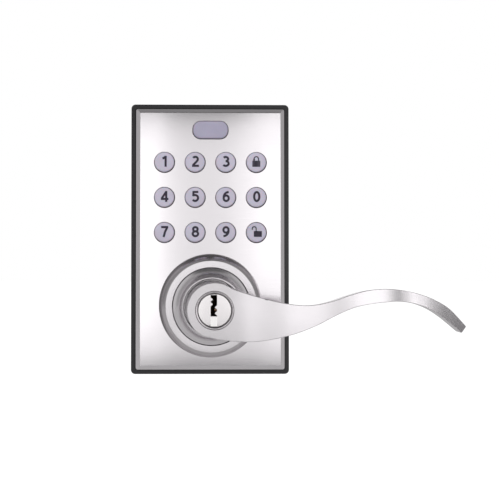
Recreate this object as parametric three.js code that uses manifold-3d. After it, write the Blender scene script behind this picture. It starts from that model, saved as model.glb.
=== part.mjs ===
// Outside unit of a keypad door lock: a black housing with a satin nickel faceplate, twelve round
// keys, a pill-shaped wake key, and a wave-shaped lever with a key cylinder in its hub.
// Sizes are in millimetres. Everything is drawn in plate coordinates: x to the right, y up and
// z out of the door, from the point where the lever's axis meets the door face. The last group
// turns that frame so that z of the plate points along -Y of the part and y of the plate along +Z.
import * as THREE from 'three';
import { mergeVertices } from 'three/addons/utils/BufferGeometryUtils.js';
import Module from 'manifold-3d';

const wasm = await Module();
wasm.setup();

// Fits
const gap = 0.3;
const overcut = 1;
const mergeTolerance = 1e-4;
const edgeBreak = 0.2;

// Facets round a full circle
const coarse = 8;
const medium = 16;
const fine = 32;
const flankSteps = 4;

// Housing: a tray that stands on the gasket
const housingWidth = 75;
const housingHeight = 128;
const axisAboveBottom = 32.6;
const housingCentreY = housingHeight / 2 - axisAboveBottom;
const housingCorner = 2;
const housingWall = 1.9;
const housingEdge = 0.5;
const gasketThickness = 1.2;
const gasketWidth = 4;
const gasketInset = 0.5;
const floorThickness = 2;
const floorBack = gasketThickness + gap;
const floorFront = floorBack + floorThickness;

// Mounting plate and its posts
const mountingPlateWidth = 58;
const mountingPlateHeight = 52;
const mountingPlateCentreY = 2;
const mountingPlateCorner = 4;
const mountingPlateThickness = 2;
const mountingPlateBack = floorFront + gap;
const mountingPlateFront = mountingPlateBack + mountingPlateThickness;
const postSpacing = 38;
const postRadius = 3.8;
const postLength = 22;
const postFlangeRadius = 4.6;
const postFlangeThickness = 1;
const postThreadRadius = 2.1;
const postThreadDepth = 16;
const plateScrewX = 23;
const plateScrewY = -18;

// Screws
const screwShankRadius = 1.5;
const screwHeadRadius = 2.5;
const screwHeadHeight = 1.6;
const screwSlotWidth = 0.8;
const screwSlotDepth = 0.6;
const boardScrewShankRadius = 1;
const boardScrewHeadRadius = 1.8;
const boardScrewHeadHeight = 1.2;
const threadEngagement = 6;

// Gap in the open side of each snap ring
const clipMouth = 4;

// Spindle and tailpiece
const spindleSide = 8;
const spindleLength = 32;
const spindleBoreRadius = 2.8;
const journalRadius = 5.9;
const discThickness = 1.8;
const discBack = mountingPlateFront + gap;
const discFront = discBack + discThickness;
const tailpieceWidth = 4.6;
const tailpieceThickness = 1.5;
const tailpieceLength = 30;

// Drive tube and the pieces round it, from the tube outwards
const tubeRadius = 9.8;
const clutchWall = 3.3;
const driverHubWall = 1.2;
const wireRadius = 0.55;
const coilRoom = 0.75;
const fingerThickness = 1.4;
const fingerRoom = 0.5;
const cassetteWall = 1.2;
const roseScrewRoom = 1.7;
const roseScrewInnerMargin = 3;
const roseScrewOuterMargin = 3.2;
const earRadius = 3;
const clutchRadius = tubeRadius + gap + clutchWall;
const driverHubRadius = tubeRadius + gap + driverHubWall;
const coilRadius = driverHubRadius + coilRoom + wireRadius;
const fingerInnerRadius = coilRadius + wireRadius + coilRoom;
const fingerOuterRadius = fingerInnerRadius + fingerThickness;
const cassetteInside = fingerOuterRadius + fingerRoom;
const cassetteRadius = cassetteInside + cassetteWall;
const roseScrewRadius = cassetteRadius + screwHeadRadius + roseScrewRoom;
const roseBore = roseScrewRadius - roseScrewInnerMargin;
const roseBaseRadius = roseScrewRadius + roseScrewOuterMargin;

// Clutch ring, which slides along the drive tube and locks it to the spindle disc
const clutchTravel = 1.6;
const clutchHeight = 3.4;
const clutchBack = discFront + gap;
const clutchFront = clutchBack + clutchHeight;
const clutchGrooveWidth = 1.6;
const clutchGrooveDepth = 1.4;
const clutchGrooveRadius = clutchRadius - clutchGrooveDepth;
const clutchGrooveBack = clutchBack + (clutchHeight - clutchGrooveWidth) / 2;
const dogWidth = 3.4;
const dogBack = discBack + gap;
const dogRimInset = 0.4;
const discRadius = clutchRadius - dogRimInset;

// Clutch fork, lead screw and motor
const forkThickness = clutchGrooveWidth - 2 * gap;
const forkBack = clutchGrooveBack + gap;
const forkFront = forkBack + forkThickness;
const forkRimWidth = 2.6;
const forkOuterRadius = clutchRadius + forkRimWidth;
const forkStemWidth = 7;
const forkBossRadius = 3;
const forkBossRise = 0.5;
const leadScrewRadius = 1.2;
const motorRadius = 5;
const motorRoom = 0.5;
const leadScrewY = cassetteRadius + motorRoom + motorRadius;
const bracketBack = forkFront + forkBossRise + clutchTravel + gap;
const bracketThickness = 0.8;
const bracketFront = bracketBack + bracketThickness;
const bracketWidth = 16;
const bracketHeight = 7.8;
const motorBack = bracketFront + gap;

// Spring cassette behind the collar
const cassetteBack = clutchFront + clutchTravel + gap;
const cassetteHeight = 5.9;
const cassetteFront = cassetteBack + cassetteHeight;
const cassetteFloor = 0.8;
const cassetteTabHeight = 1.7;
const earThickness = 1;

// Collar, faceplate and rose
const collarFlangeThickness = 2;
const collarFlangeRadius = roseScrewRadius + earRadius;
const collarFlangeBack = cassetteFront + gap;
const collarFlangeFront = collarFlangeBack + collarFlangeThickness;
const faceplateThickness = 2;
const faceplateBack = collarFlangeFront + gap;
const faceplateFront = faceplateBack + faceplateThickness;
const faceplateWidth = housingWidth - 2 * housingWall - 2 * gap;
const faceplateHeight = housingHeight - 2 * housingWall - 2 * gap;
const faceplateCorner = 1;
const faceplateBevelWidth = 2;
const faceplateBevelDepth = 1.6;
const faceplateSkirtWall = 1.2;
const faceplateSkirtDepth = 4.5;
const rimSetback = 2.5;
const rimFront = faceplateFront - rimSetback;
const cornerScrewInset = 3;
const cornerBossRadius = 2.6;
const cornerPostRadius = 4.2;
const cornerPostFront = 12;
const cornerScrewHeadDepth = 1.2;

const collarRadius = roseBore - gap;
const collarShoulder = 8;
const collarHeight = 15;
const collarRimRadius = 13.6;
const collarRimWidth = 0.8;
const collarFront = faceplateFront + collarHeight;
const collarRimBore = collarRimRadius - collarRimWidth;
const collarBulge = 0.8;
const roseBack = faceplateFront + gap;
const roseHeight = 9;
const roseFlankWidth = 3.6;
const roseFront = faceplateFront + roseHeight;
const roseTopRadius = roseBaseRadius - roseFlankWidth;
const roseLip = 0.9;
const roseFlankBulge = 2.2;
const roseScrewDepth = 4;
const roseScrewAngles = [30, 150, 270];

// Drive tube
const tubeBore = 6.2;
const tubeFlangeRise = 6.7;
const tubeFlangeThickness = 2;
const tubeFlangeGap = 0.9;
const tubeSpigotLength = 5;
const tubeBack = clutchBack;
const tubeFlangeBack = faceplateFront + tubeFlangeRise;
const tubeFlangeFront = tubeFlangeBack + tubeFlangeThickness;
const spigotFront = tubeFlangeFront + tubeSpigotLength;
const keywayWidth = 3.2;
const keywayDepth = 1.2;
const keywayRingRoom = 1.5;
const keywayEnd = cassetteFront - keywayRingRoom;
const tubeRingThickness = 0.8;
const tubeRingRise = 1.6;
const tubeRingRadius = tubeRadius + tubeRingRise;
const tubeRingGroove = 0.9;

// Spring driver and torsion spring
const driverBack = cassetteBack + cassetteFloor + gap;
const driverHubHeight = 3;
const driverArmThickness = 1;
const fingerWidth = 3.4;
const fingerFront = cassetteFront - cassetteTabHeight - gap;
const coilBack = driverBack + driverArmThickness + gap + wireRadius;
const coilFront = cassetteFront - wireRadius;
const coilTurns = 2;
const coilSteps = 54;

// Lever
const hubRadius = 12.1;
const hubEdge = 0.5;
const neckBack = tubeFlangeFront + gap;
const leverReach = 38;
const leverFront = faceplateFront + leverReach;
const armEdgeRadius = 0.6;
const armSteps = 20;
const armRootDepth = 20;
const armTipDepth = 8;
const armTipSetback = 12;
const armSetbackStart = 10;
const armSetbackPower = 1.6;
const sectionHalf = 10;

// Upper and lower edge of the lever's arm, seen from the front. The points are paired across it.
const armTopEdge = [
  [2, 11.6], [9, 9], [20.5, 5.5], [32, 2.9], [42.5, 2.2], [51.5, 3.8], [59.5, 6.4],
  [67.5, 8.5], [75.5, 9.2], [83.5, 8.6], [91.5, 6.9], [99, 4.1], [106, -0.1], [113.7, -7.9],
];
const armBottomEdge = [
  [0, -11.8], [4.8, -13.1], [18.6, -13.6], [33, -11], [44.4, -7], [53.5, -2.5], [61.4, 0.75],
  [68.8, 2.4], [75.6, 3.15], [82.6, 3.5], [89.6, 2.4], [96.4, 0], [103, -4.1], [111.4, -10.9],
];

// Key cylinder
const shellRadius = 8.6;
const shellWall = 1.05;
const plugTailLength = 2;
const shellBack = spigotFront + gap + plugTailLength;
const shellSetback = 0.1;
const shellFront = leverFront - shellSetback;
const shellFaceSlope = 0.5;
const bibleWidth = 5.4;
const bibleTop = 10.9;
const bibleSetback = 5;
const bibleFront = shellFront - bibleSetback;
const plugRadius = shellRadius - shellWall - gap;
const plugFront = shellFront - shellFaceSlope;
const plugJournalRadius = 5.9;
const plugJournalBack = spigotFront + gap;
const plugClipThickness = 0.8;
const plugClipRadius = shellRadius - gap;
const plugClipGroove = 0.7;
const tailpieceSocketDepth = 2.4;
const slotLeft = -1.75;
const slotRight = 1.05;
const slotTop = 6.75;
const slotBottom = -2.55;
const slotDepth = 16;
const notchTop = -2.9;
const notchBottom = -6.85;
const notchDepth = 0.6;
const wardReach = 0.85;
const wardHeight = 0.9;
const leftWards = [4.8, 2.7];
const rightWards = [1.35, -1.2];
const pinRadius = 0.9;
const pinX = 0.1;
const pinY = 0.15;
const pinLength = 6;
const pinSetback = 3;
const grubRadius = 2;
const grubLength = 3;
const grubSetback = 12;
const grubHoleReach = 16;
const hexRadius = 1.1;
const hexDepth = 1.4;
const tubePinRadius = 1.2;

// Keys
const keyRadius = 4.7;
const keyRise = 1.1;
const keyEdge = 0.4;
const keyFlangeWidth = 1;
const keyFlangeThickness = 1;
const keyStemRadius = 2.8;
const keyStemLength = 1.8;
const keyEdgeRoom = 13.55;
const wakeKeyWidth = 17.1;
const wakeKeyHeight = 8.5;
const wakeKeyCorner = 3.8;
const wakeKeyDrop = 12.4;
const wakeKeyCloser = 1.2;
const keyNames = [
  ['key_1', 'key_2', 'key_3', 'key_lock'],
  ['key_4', 'key_5', 'key_6', 'key_0'],
  ['key_7', 'key_8', 'key_9', 'key_unlock'],
];
const keyRowCount = keyNames.length;
const keyColumnCount = keyNames[0].length;

// The columns keep their distance from the faceplate's edges. The rows are spaced evenly
// between the motor below and the wake key above, which sits a little closer to its neighbours.
const keyColumnPitch = (faceplateWidth - 2 * keyEdgeRoom) / (keyColumnCount - 1);
const keypadRise = 6.9;
const wakeKeyY = housingCentreY + housingHeight / 2 - wakeKeyDrop;
const keyBottomRowY = leadScrewY + motorRadius + keypadRise;
const keyRowPitch = (wakeKeyY - keyBottomRowY + wakeKeyCloser) / keyRowCount;
const keyFlangeFront = faceplateBack - gap;
const keyFlangeBack = keyFlangeFront - keyFlangeThickness;
const keyStemBack = keyFlangeBack - keyStemLength;

// Key mat
const domeBaseRadius = 3.8;
const domeTopRadius = 3;
const domeHeight = 2.4;
const domeSkin = 0.8;
const webThickness = 0.8;
const domeFront = keyStemBack - gap;
const webFront = domeFront - domeHeight;
const webBack = webFront - webThickness;
const matMargin = 0.3;
const matCorner = 2;

// Circuit board and what is soldered to its back
const boardSideRoom = 5.1;
const boardWidth = housingWidth - 2 * housingWall - 2 * boardSideRoom;
const boardThickness = 1.6;
const boardCorner = 2;
const boardMargin = 6;
const boardBottom = keyBottomRowY - boardMargin;
const boardTop = wakeKeyY + boardMargin;
const boardFront = webBack - gap;
const boardBack = boardFront - boardThickness;
const boardScrewInset = 2.5;
const boardScrewX = boardWidth / 2 - boardScrewInset;
const boardBossRadius = 2.4;
const chipSize = 9;
const chipHeight = 1.2;
const chipX = 9;
const chipY = keyBottomRowY + 1.5 * keyRowPitch;
const buzzerRadius = 6;
const buzzerHeight = 6;
const buzzerX = -12;
const buzzerY = keyBottomRowY + 2 * keyRowPitch;
const buzzerHoleRadius = 1;
const capacitorRadius = 2.5;
const capacitorHeight = 7;
const capacitorX = 17;
const capacitorY = keyBottomRowY + keyRowPitch / 2;
const socketWidth = 10;
const socketHeight = 6;
const socketDepth = 5;
const socketWall = 0.8;
const socketX = -14;
const socketRise = 1.6;
const socketY = keyBottomRowY + socketRise;

// Cable outlet through the mounting plate and the housing floor
const outletWidth = 7;
const outletHeight = 8;
const outletX = -13.5;
const outletY = 17.5;

// Finishes
const finish = (color, roughness, metalness) => ({ color, roughness, metalness });
const satinNickel = finish(0xd8d4d6, 0.34, 1);
const brightNickel = finish(0xe4e1df, 0.25, 1);
const blackShell = finish(0x3a3a3d, 0.45, 0);
const blackRubber = finish(0x1c1c1e, 0.85, 0);
const zincSteel = finish(0xa9abad, 0.4, 1);
const darkSteel = finish(0x5a5a5e, 0.45, 1);
const springSteel = finish(0x8b8d90, 0.35, 1);
const brass = finish(0xb98f4e, 0.35, 1);
const keyPlastic = finish(0xbcb6c2, 0.4, 0);
const silicone = finish(0xd9d6dc, 0.7, 0);
const boardGreen = finish(0x1f5a3a, 0.55, 0);
const chipBlack = finish(0x17171a, 0.5, 0);
const socketWhite = finish(0xe9e4d8, 0.5, 0);

const lock = new THREE.Group();
lock.rotation.x = Math.PI / 2;

// Solids

function signedVolume(places, corners) {
  const [a, b, c] = [new THREE.Vector3(), new THREE.Vector3(), new THREE.Vector3()];
  let sum = 0;
  for (let i = 0; i < corners.length; i += 3) {
    a.fromArray(places, 3 * corners[i]);
    b.fromArray(places, 3 * corners[i + 1]);
    c.fromArray(places, 3 * corners[i + 2]);
    sum += a.dot(b.cross(c));
  }
  return sum / 6;
}

// A closed three.js geometry as a solid that can be joined and cut, with its faces pointing out
function solid(geometry) {
  geometry.deleteAttribute('normal');
  geometry.deleteAttribute('uv');
  const merged = mergeVertices(geometry, mergeTolerance);
  const places = merged.attributes.position.array;
  const corners = [];
  for (let i = 0; i < merged.index.count; i += 3) {
    const triangle = [0, 1, 2].map((corner) => merged.index.getX(i + corner));
    if (new Set(triangle).size === 3) {
      corners.push(...triangle);
    }
  }
  if (signedVolume(places, corners) < 0) {
    corners.reverse();
  }
  const vertProperties = new Float32Array(places);
  const triVerts = new Uint32Array(corners);
  return new wasm.Manifold(new wasm.Mesh({ numProp: 3, vertProperties, triVerts }));
}

// Adds a finished solid to the lock as a named mesh
function place(name, body, look, x = 0, y = 0) {
  const result = body.getMesh();
  const geometry = new THREE.BufferGeometry();
  geometry.setAttribute('position', new THREE.BufferAttribute(result.vertProperties, result.numProp));
  geometry.setIndex(new THREE.BufferAttribute(result.triVerts, 1));
  geometry.computeVertexNormals();
  const mesh = new THREE.Mesh(geometry, new THREE.MeshStandardMaterial(look));
  mesh.name = name;
  mesh.position.set(x, y, 0);
  lock.add(mesh);
}

// A profile of [radius, height] points turned round the z axis
function revolve(profile, segments = fine) {
  const outline = profile.map(([radius, height]) => new THREE.Vector2(radius, height));
  return solid(new THREE.LatheGeometry(outline, segments).rotateX(Math.PI / 2));
}

function cone(backRadius, frontRadius, back, front, x = 0, y = 0, segments = medium) {
  const geometry = new THREE.CylinderGeometry(frontRadius, backRadius, front - back, segments);
  return solid(geometry.rotateX(Math.PI / 2).translate(x, y, (front + back) / 2));
}

function disc(radius, back, front, x = 0, y = 0, segments = medium) {
  return cone(radius, radius, back, front, x, y, segments);
}

function ring(innerRadius, outerRadius, back, front, segments = fine) {
  const profile = [[innerRadius, back], [outerRadius, back], [outerRadius, front], [innerRadius, front]];
  return revolve([...profile, profile[0]], segments);
}

function block(left, right, bottom, top, back, front) {
  const geometry = new THREE.BoxGeometry(right - left, top - bottom, front - back);
  return solid(geometry.translate((left + right) / 2, (bottom + top) / 2, (back + front) / 2));
}

function roundedOutline(width, height, corner) {
  const [right, top] = [width / 2 - corner, height / 2 - corner];
  const outline = new THREE.Shape();
  outline.absarc(right, top, corner, 0, Math.PI / 2);
  outline.absarc(-right, top, corner, Math.PI / 2, Math.PI);
  outline.absarc(-right, -top, corner, Math.PI, 1.5 * Math.PI);
  outline.absarc(right, -top, corner, 1.5 * Math.PI, 2 * Math.PI);
  outline.closePath();
  return outline;
}

function slab(outline, back, front, x = 0, y = 0, curveSegments = 4) {
  const options = { depth: front - back, bevelEnabled: false, curveSegments };
  return solid(new THREE.ExtrudeGeometry(outline, options).translate(x, y, back));
}

// A slab whose edges are cut back by edgeWidth over edgeDepth at both ends
function bevelledSlab(width, height, corner, back, front, x, y, edgeWidth, edgeDepth) {
  const inner = Math.max(corner - edgeWidth, 0.1);
  const outline = roundedOutline(width - 2 * edgeWidth, height - 2 * edgeWidth, inner);
  const options = {
    depth: front - back - 2 * edgeDepth,
    bevelSize: edgeWidth,
    bevelThickness: edgeDepth,
    bevelSegments: 1,
    curveSegments: 4,
  };
  return solid(new THREE.ExtrudeGeometry(outline, options).translate(x, y, back + edgeDepth));
}

function polar(radius, degrees) {
  const angle = THREE.MathUtils.degToRad(degrees);
  return [radius * Math.cos(angle), radius * Math.sin(angle)];
}

// A screw with a slotted head at its back end. The shank runs on to the front.
function screwFromBack(headRadius, headHeight, shankRadius, headBack, front) {
  const head = disc(headRadius, headBack, headBack + headHeight, 0, 0, coarse);
  const shank = disc(shankRadius, headBack + headHeight / 2, front, 0, 0, coarse);
  const half = screwSlotWidth / 2;
  const slot = block(-headRadius, headRadius, -half, half, headBack - overcut, headBack + screwSlotDepth);
  return head.add(shank).subtract(slot);
}

// A screw with a slotted head at its front end. The shank runs back.
function screwFromFront(headRadius, headHeight, shankRadius, headFront, back) {
  const head = disc(headRadius, headFront - headHeight, headFront, 0, 0, coarse);
  const shank = disc(shankRadius, back, headFront - headHeight / 2, 0, 0, coarse);
  const half = screwSlotWidth / 2;
  const slot = block(-headRadius, headRadius, -half, half, headFront - screwSlotDepth, headFront + overcut);
  return head.add(shank).subtract(slot);
}

// Places shared by several pieces
const cornerScrewX = housingWidth / 2 - housingWall - cornerScrewInset;
const cornerScrewReach = housingHeight / 2 - housingWall - cornerScrewInset;
const cornerScrewPlaces = [
  [-cornerScrewX, housingCentreY - cornerScrewReach],
  [cornerScrewX, housingCentreY - cornerScrewReach],
  [-cornerScrewX, housingCentreY + cornerScrewReach],
  [cornerScrewX, housingCentreY + cornerScrewReach],
];
const boardScrewY = keyBottomRowY + keyRowPitch / 2;
const boardScrewPlaces = [[-boardScrewX, boardScrewY], [boardScrewX, boardScrewY]];
const boardCentreY = (boardBottom + boardTop) / 2;
const postPlaces = [-postSpacing / 2, postSpacing / 2];
const keyPlaces = [];
for (let row = 0; row < keyRowCount; row++) {
  for (let column = 0; column < keyColumnCount; column++) {
    const x = (column - (keyColumnCount - 1) / 2) * keyColumnPitch;
    const y = keyBottomRowY + (keyRowCount - 1 - row) * keyRowPitch;
    keyPlaces.push({ name: keyNames[row][column], x, y });
  }
}

// Housing side

function gasket() {
  const [width, height] = [housingWidth - 2 * gasketInset, housingHeight - 2 * gasketInset];
  const outer = slab(roundedOutline(width, height, housingCorner), 0, gasketThickness, 0, housingCentreY);
  const hole = roundedOutline(width - 2 * gasketWidth, height - 2 * gasketWidth, housingCorner);
  return outer.subtract(slab(hole, -overcut, gasketThickness + overcut, 0, housingCentreY));
}

function backHousing() {
  let body = bevelledSlab(
    housingWidth, housingHeight, housingCorner, floorBack, rimFront, 0, housingCentreY,
    housingEdge, housingEdge,
  );
  const cavity = roundedOutline(
    housingWidth - 2 * housingWall, housingHeight - 2 * housingWall, faceplateCorner + gap,
  );
  body = body.subtract(slab(cavity, floorFront, rimFront + overcut, 0, housingCentreY));
  for (const [x, y] of cornerScrewPlaces) {
    const room = disc(cornerPostRadius, floorBack + housingEdge, cornerPostFront, x, y);
    const envelope = block(
      -housingWidth / 2 + housingEdge, housingWidth / 2 - housingEdge,
      housingCentreY - housingHeight / 2 + housingEdge, housingCentreY + housingHeight / 2 - housingEdge,
      floorBack, cornerPostFront + overcut,
    );
    body = body.add(room.intersect(envelope));
    body = body.subtract(disc(screwShankRadius + gap, floorBack - overcut, rimFront, x, y, coarse));
    const seat = floorBack + cornerScrewHeadDepth + screwHeadHeight + gap;
    body = body.subtract(disc(screwHeadRadius + gap, floorBack - overcut, seat, x, y, coarse));
  }
  for (const [x, y] of boardScrewPlaces) {
    body = body.add(disc(boardBossRadius, floorFront - gap, boardBack - gap, x, y, coarse));
    const bore = disc(boardScrewShankRadius + gap, boardBack - threadEngagement, boardFront, x, y, coarse);
    body = body.subtract(bore);
  }
  for (const x of postPlaces) {
    body = body.subtract(disc(postRadius + gap, floorBack - overcut, floorFront + overcut, x));
  }
  for (const x of [-plateScrewX, plateScrewX]) {
    const [back, front] = [floorBack - overcut, floorFront + overcut];
    body = body.subtract(disc(screwShankRadius + gap, back, front, x, plateScrewY, coarse));
  }
  body = body.subtract(disc(journalRadius + gap, floorBack - overcut, floorFront + overcut));
  const leadScrewHole = disc(leadScrewRadius + gap, floorBack - overcut, floorFront + overcut, 0, leadScrewY);
  return body.subtract(leadScrewHole).subtract(cableOutlet());
}

function cableOutlet() {
  const outline = roundedOutline(outletWidth, outletHeight, 1);
  return slab(outline, floorBack - overcut, mountingPlateFront + overcut, outletX, outletY);
}

function mountingPlate() {
  const outline = roundedOutline(mountingPlateWidth, mountingPlateHeight, mountingPlateCorner);
  let body = slab(outline, mountingPlateBack, mountingPlateFront, 0, mountingPlateCentreY);
  const [back, front] = [mountingPlateBack - overcut, mountingPlateFront + overcut];
  body = body.subtract(disc(journalRadius + gap, back, front));
  body = body.subtract(disc(leadScrewRadius + gap, back, front, 0, leadScrewY, coarse));
  for (const x of postPlaces) {
    body = body.subtract(disc(postRadius + gap, back, front, x));
  }
  for (const side of [-1, 1]) {
    const screwX = side * plateScrewX;
    body = body.subtract(disc(screwShankRadius + gap, back, front, screwX, plateScrewY, coarse));
    const tabMiddle = side * (bracketWidth - bracketThickness) / 2;
    const slotHalf = bracketThickness / 2 + gap;
    const tabHalf = bracketHeight / 4 + gap;
    body = body.subtract(block(
      tabMiddle - slotHalf, tabMiddle + slotHalf, leadScrewY - tabHalf, leadScrewY + tabHalf, back, front,
    ));
  }
  return body.subtract(cableOutlet());
}

// A flanged post that stands through the plate and the floor, with a blind tapped hole behind
function mountingPost() {
  const flangeBack = mountingPlateFront + gap;
  const profile = [
    [0, -postLength], [postRadius, -postLength], [postRadius, flangeBack],
    [postFlangeRadius, flangeBack], [postFlangeRadius, flangeBack + postFlangeThickness],
    [0, flangeBack + postFlangeThickness],
  ];
  const thread = disc(postThreadRadius, -postLength - overcut, postThreadDepth - postLength, 0, 0, coarse);
  return revolve(profile, medium).subtract(thread);
}

function plateScrew() {
  const headFront = mountingPlateFront + gap + screwHeadHeight;
  return screwFromFront(screwHeadRadius, screwHeadHeight, screwShankRadius, headFront, floorBack + gap);
}

// Faceplate side

function faceplate() {
  const bevelBack = faceplateFront - faceplateBevelDepth;
  const skirtBack = faceplateFront - faceplateSkirtDepth;
  const outline = roundedOutline(faceplateWidth, faceplateHeight, faceplateCorner);
  const skirt = slab(outline, skirtBack, bevelBack, 0, housingCentreY, 4);
  const front = bevelledSlab(
    faceplateWidth, faceplateHeight, faceplateCorner, bevelBack - faceplateBevelDepth, faceplateFront,
    0, housingCentreY, faceplateBevelWidth, faceplateBevelDepth,
  );
  const hollow = roundedOutline(
    faceplateWidth - 2 * faceplateSkirtWall, faceplateHeight - 2 * faceplateSkirtWall, faceplateCorner,
  );
  const room = slab(hollow, skirtBack - overcut, faceplateBack, 0, housingCentreY, 4);
  let body = skirt.add(front).subtract(room);
  const bossBack = cornerPostFront + gap;
  for (const [x, y] of cornerScrewPlaces) {
    body = body.add(disc(cornerBossRadius, bossBack, faceplateBack + gap, x, y, coarse));
    body = body.subtract(disc(
      screwShankRadius + gap, bossBack - overcut, bossBack + threadEngagement + gap, x, y, coarse,
    ));
  }
  for (const key of keyPlaces) {
    body = body.subtract(disc(keyRadius + gap, skirtBack, faceplateFront + overcut, key.x, key.y));
  }
  const wakeHole = roundedOutline(wakeKeyWidth + 2 * gap, wakeKeyHeight + 2 * gap, wakeKeyCorner + gap);
  body = body.subtract(slab(wakeHole, skirtBack, faceplateFront + overcut, 0, wakeKeyY));
  for (const degrees of roseScrewAngles) {
    const [x, y] = polar(roseScrewRadius, degrees);
    body = body.subtract(disc(screwShankRadius + gap, skirtBack, faceplateFront + overcut, x, y, coarse));
  }
  return body.subtract(disc(collarRadius + gap, skirtBack, faceplateFront + overcut, 0, 0, fine));
}

function faceplateScrew() {
  const headBack = floorBack + cornerScrewHeadDepth;
  const front = cornerPostFront + gap + threadEngagement;
  return screwFromBack(screwHeadRadius, screwHeadHeight, screwShankRadius, headBack, front);
}

function roseRing() {
  const flank = new THREE.QuadraticBezierCurve(
    new THREE.Vector2(roseBaseRadius, roseBack + roseLip),
    new THREE.Vector2(roseBaseRadius - edgeBreak, roseFront - roseFlankBulge),
    new THREE.Vector2(roseTopRadius + edgeBreak, roseFront - edgeBreak),
  );
  const profile = [
    [roseBore, roseBack], [roseBaseRadius, roseBack],
    ...flank.getPoints(flankSteps).map((point) => point.toArray()),
    [roseTopRadius, roseFront], [roseBore + edgeBreak, roseFront], [roseBore, roseFront - edgeBreak],
  ];
  let body = revolve([...profile, profile[0]]);
  for (const degrees of roseScrewAngles) {
    const [x, y] = polar(roseScrewRadius, degrees);
    const holeFront = roseBack + roseScrewDepth + gap;
    body = body.subtract(disc(screwShankRadius + gap, roseBack - overcut, holeFront, x, y, coarse));
  }
  return body;
}

function roseScrew() {
  const headBack = cassetteFront - earThickness - gap - screwHeadHeight;
  const front = roseBack + roseScrewDepth;
  return screwFromBack(screwHeadRadius, screwHeadHeight, screwShankRadius, headBack, front);
}

// The flanged collar that the drive tube turns in, with its conical front inside the rose
function bearingCollar() {
  const shoulderFront = tubeFlangeBack - gap;
  const cone = new THREE.QuadraticBezierCurve(
    new THREE.Vector2(collarRadius, faceplateFront + collarShoulder),
    new THREE.Vector2(
      (collarRadius + collarRimRadius) / 2 + collarBulge,
      (faceplateFront + collarShoulder + collarFront) / 2 + collarBulge,
    ),
    new THREE.Vector2(collarRimRadius, collarFront - edgeBreak),
  );
  const profile = [
    [tubeRadius + gap, collarFlangeBack], [collarFlangeRadius, collarFlangeBack],
    [collarFlangeRadius, collarFlangeFront], [collarRadius, collarFlangeFront],
    ...cone.getPoints(flankSteps).map((point) => point.toArray()),
    [collarRimRadius - edgeBreak, collarFront], [collarRimBore, collarFront],
    [collarRimBore, shoulderFront], [tubeRadius + gap, shoulderFront],
  ];
  let body = revolve([...profile, profile[0]]);
  for (const degrees of roseScrewAngles) {
    const [x, y] = polar(roseScrewRadius, degrees);
    const [back, front] = [collarFlangeBack - overcut, collarFlangeFront + overcut];
    body = body.subtract(disc(screwShankRadius + gap, back, front, x, y, coarse));
  }
  const flat = leadScrewY - motorRadius - gap;
  return body.subtract(block(
    -collarFlangeRadius, collarFlangeRadius, flat, collarFlangeRadius + overcut,
    collarFlangeBack - overcut, collarFlangeFront + gap / 2,
  ));
}

// Return spring group

function springCassette() {
  const floorHole = tubeRadius + 2 * gap;
  const profile = [
    [floorHole, cassetteBack], [cassetteRadius, cassetteBack], [cassetteRadius, cassetteFront],
    [cassetteInside, cassetteFront], [cassetteInside, cassetteBack + cassetteFloor],
    [floorHole, cassetteBack + cassetteFloor],
  ];
  let body = revolve([...profile, profile[0]]);
  for (const degrees of roseScrewAngles) {
    const [x, y] = polar(roseScrewRadius, degrees);
    const wallMiddle = cassetteInside + cassetteWall / 2;
    const arm = new THREE.BoxGeometry(roseScrewRadius - wallMiddle, 2 * earRadius, earThickness);
    arm.translate((roseScrewRadius + wallMiddle) / 2, 0, cassetteFront - earThickness / 2);
    arm.rotateZ(THREE.MathUtils.degToRad(degrees));
    body = body.add(solid(arm));
    body = body.add(disc(earRadius, cassetteFront - earThickness, cassetteFront, x, y, coarse));
    const [back, front] = [cassetteFront - earThickness - overcut, cassetteFront + overcut];
    body = body.subtract(disc(screwShankRadius + gap, back, front, x, y, coarse));
  }
  const tab = block(
    -fingerWidth / 2, fingerWidth / 2, -cassetteInside - cassetteWall / 2, -fingerInnerRadius,
    cassetteFront - cassetteTabHeight, cassetteFront,
  );
  return body.add(tab);
}

// Keyed to the drive tube, it carries the finger between the spring's legs
function springDriver() {
  const bore = tubeRadius + gap;
  let body = ring(bore, driverHubRadius, driverBack, driverBack + driverHubHeight);
  const arm = block(
    -fingerWidth / 2, fingerWidth / 2, -fingerOuterRadius, -bore - gap,
    driverBack, driverBack + driverArmThickness,
  );
  const finger = block(
    -fingerWidth / 2, fingerWidth / 2, -fingerOuterRadius, -fingerInnerRadius, driverBack, fingerFront,
  );
  body = body.add(arm).add(finger);
  return body.add(keywayLugs(driverBack, driverBack + driverHubHeight));
}

// Two lugs that run in the drive tube's keyways
function keywayLugs(back, front) {
  const half = keywayWidth / 2 - gap;
  const inner = tubeRadius - keywayDepth + gap;
  const outer = tubeRadius + 2 * gap;
  return block(inner, outer, -half, half, back, front).add(block(-outer, -inner, -half, half, back, front));
}

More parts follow.
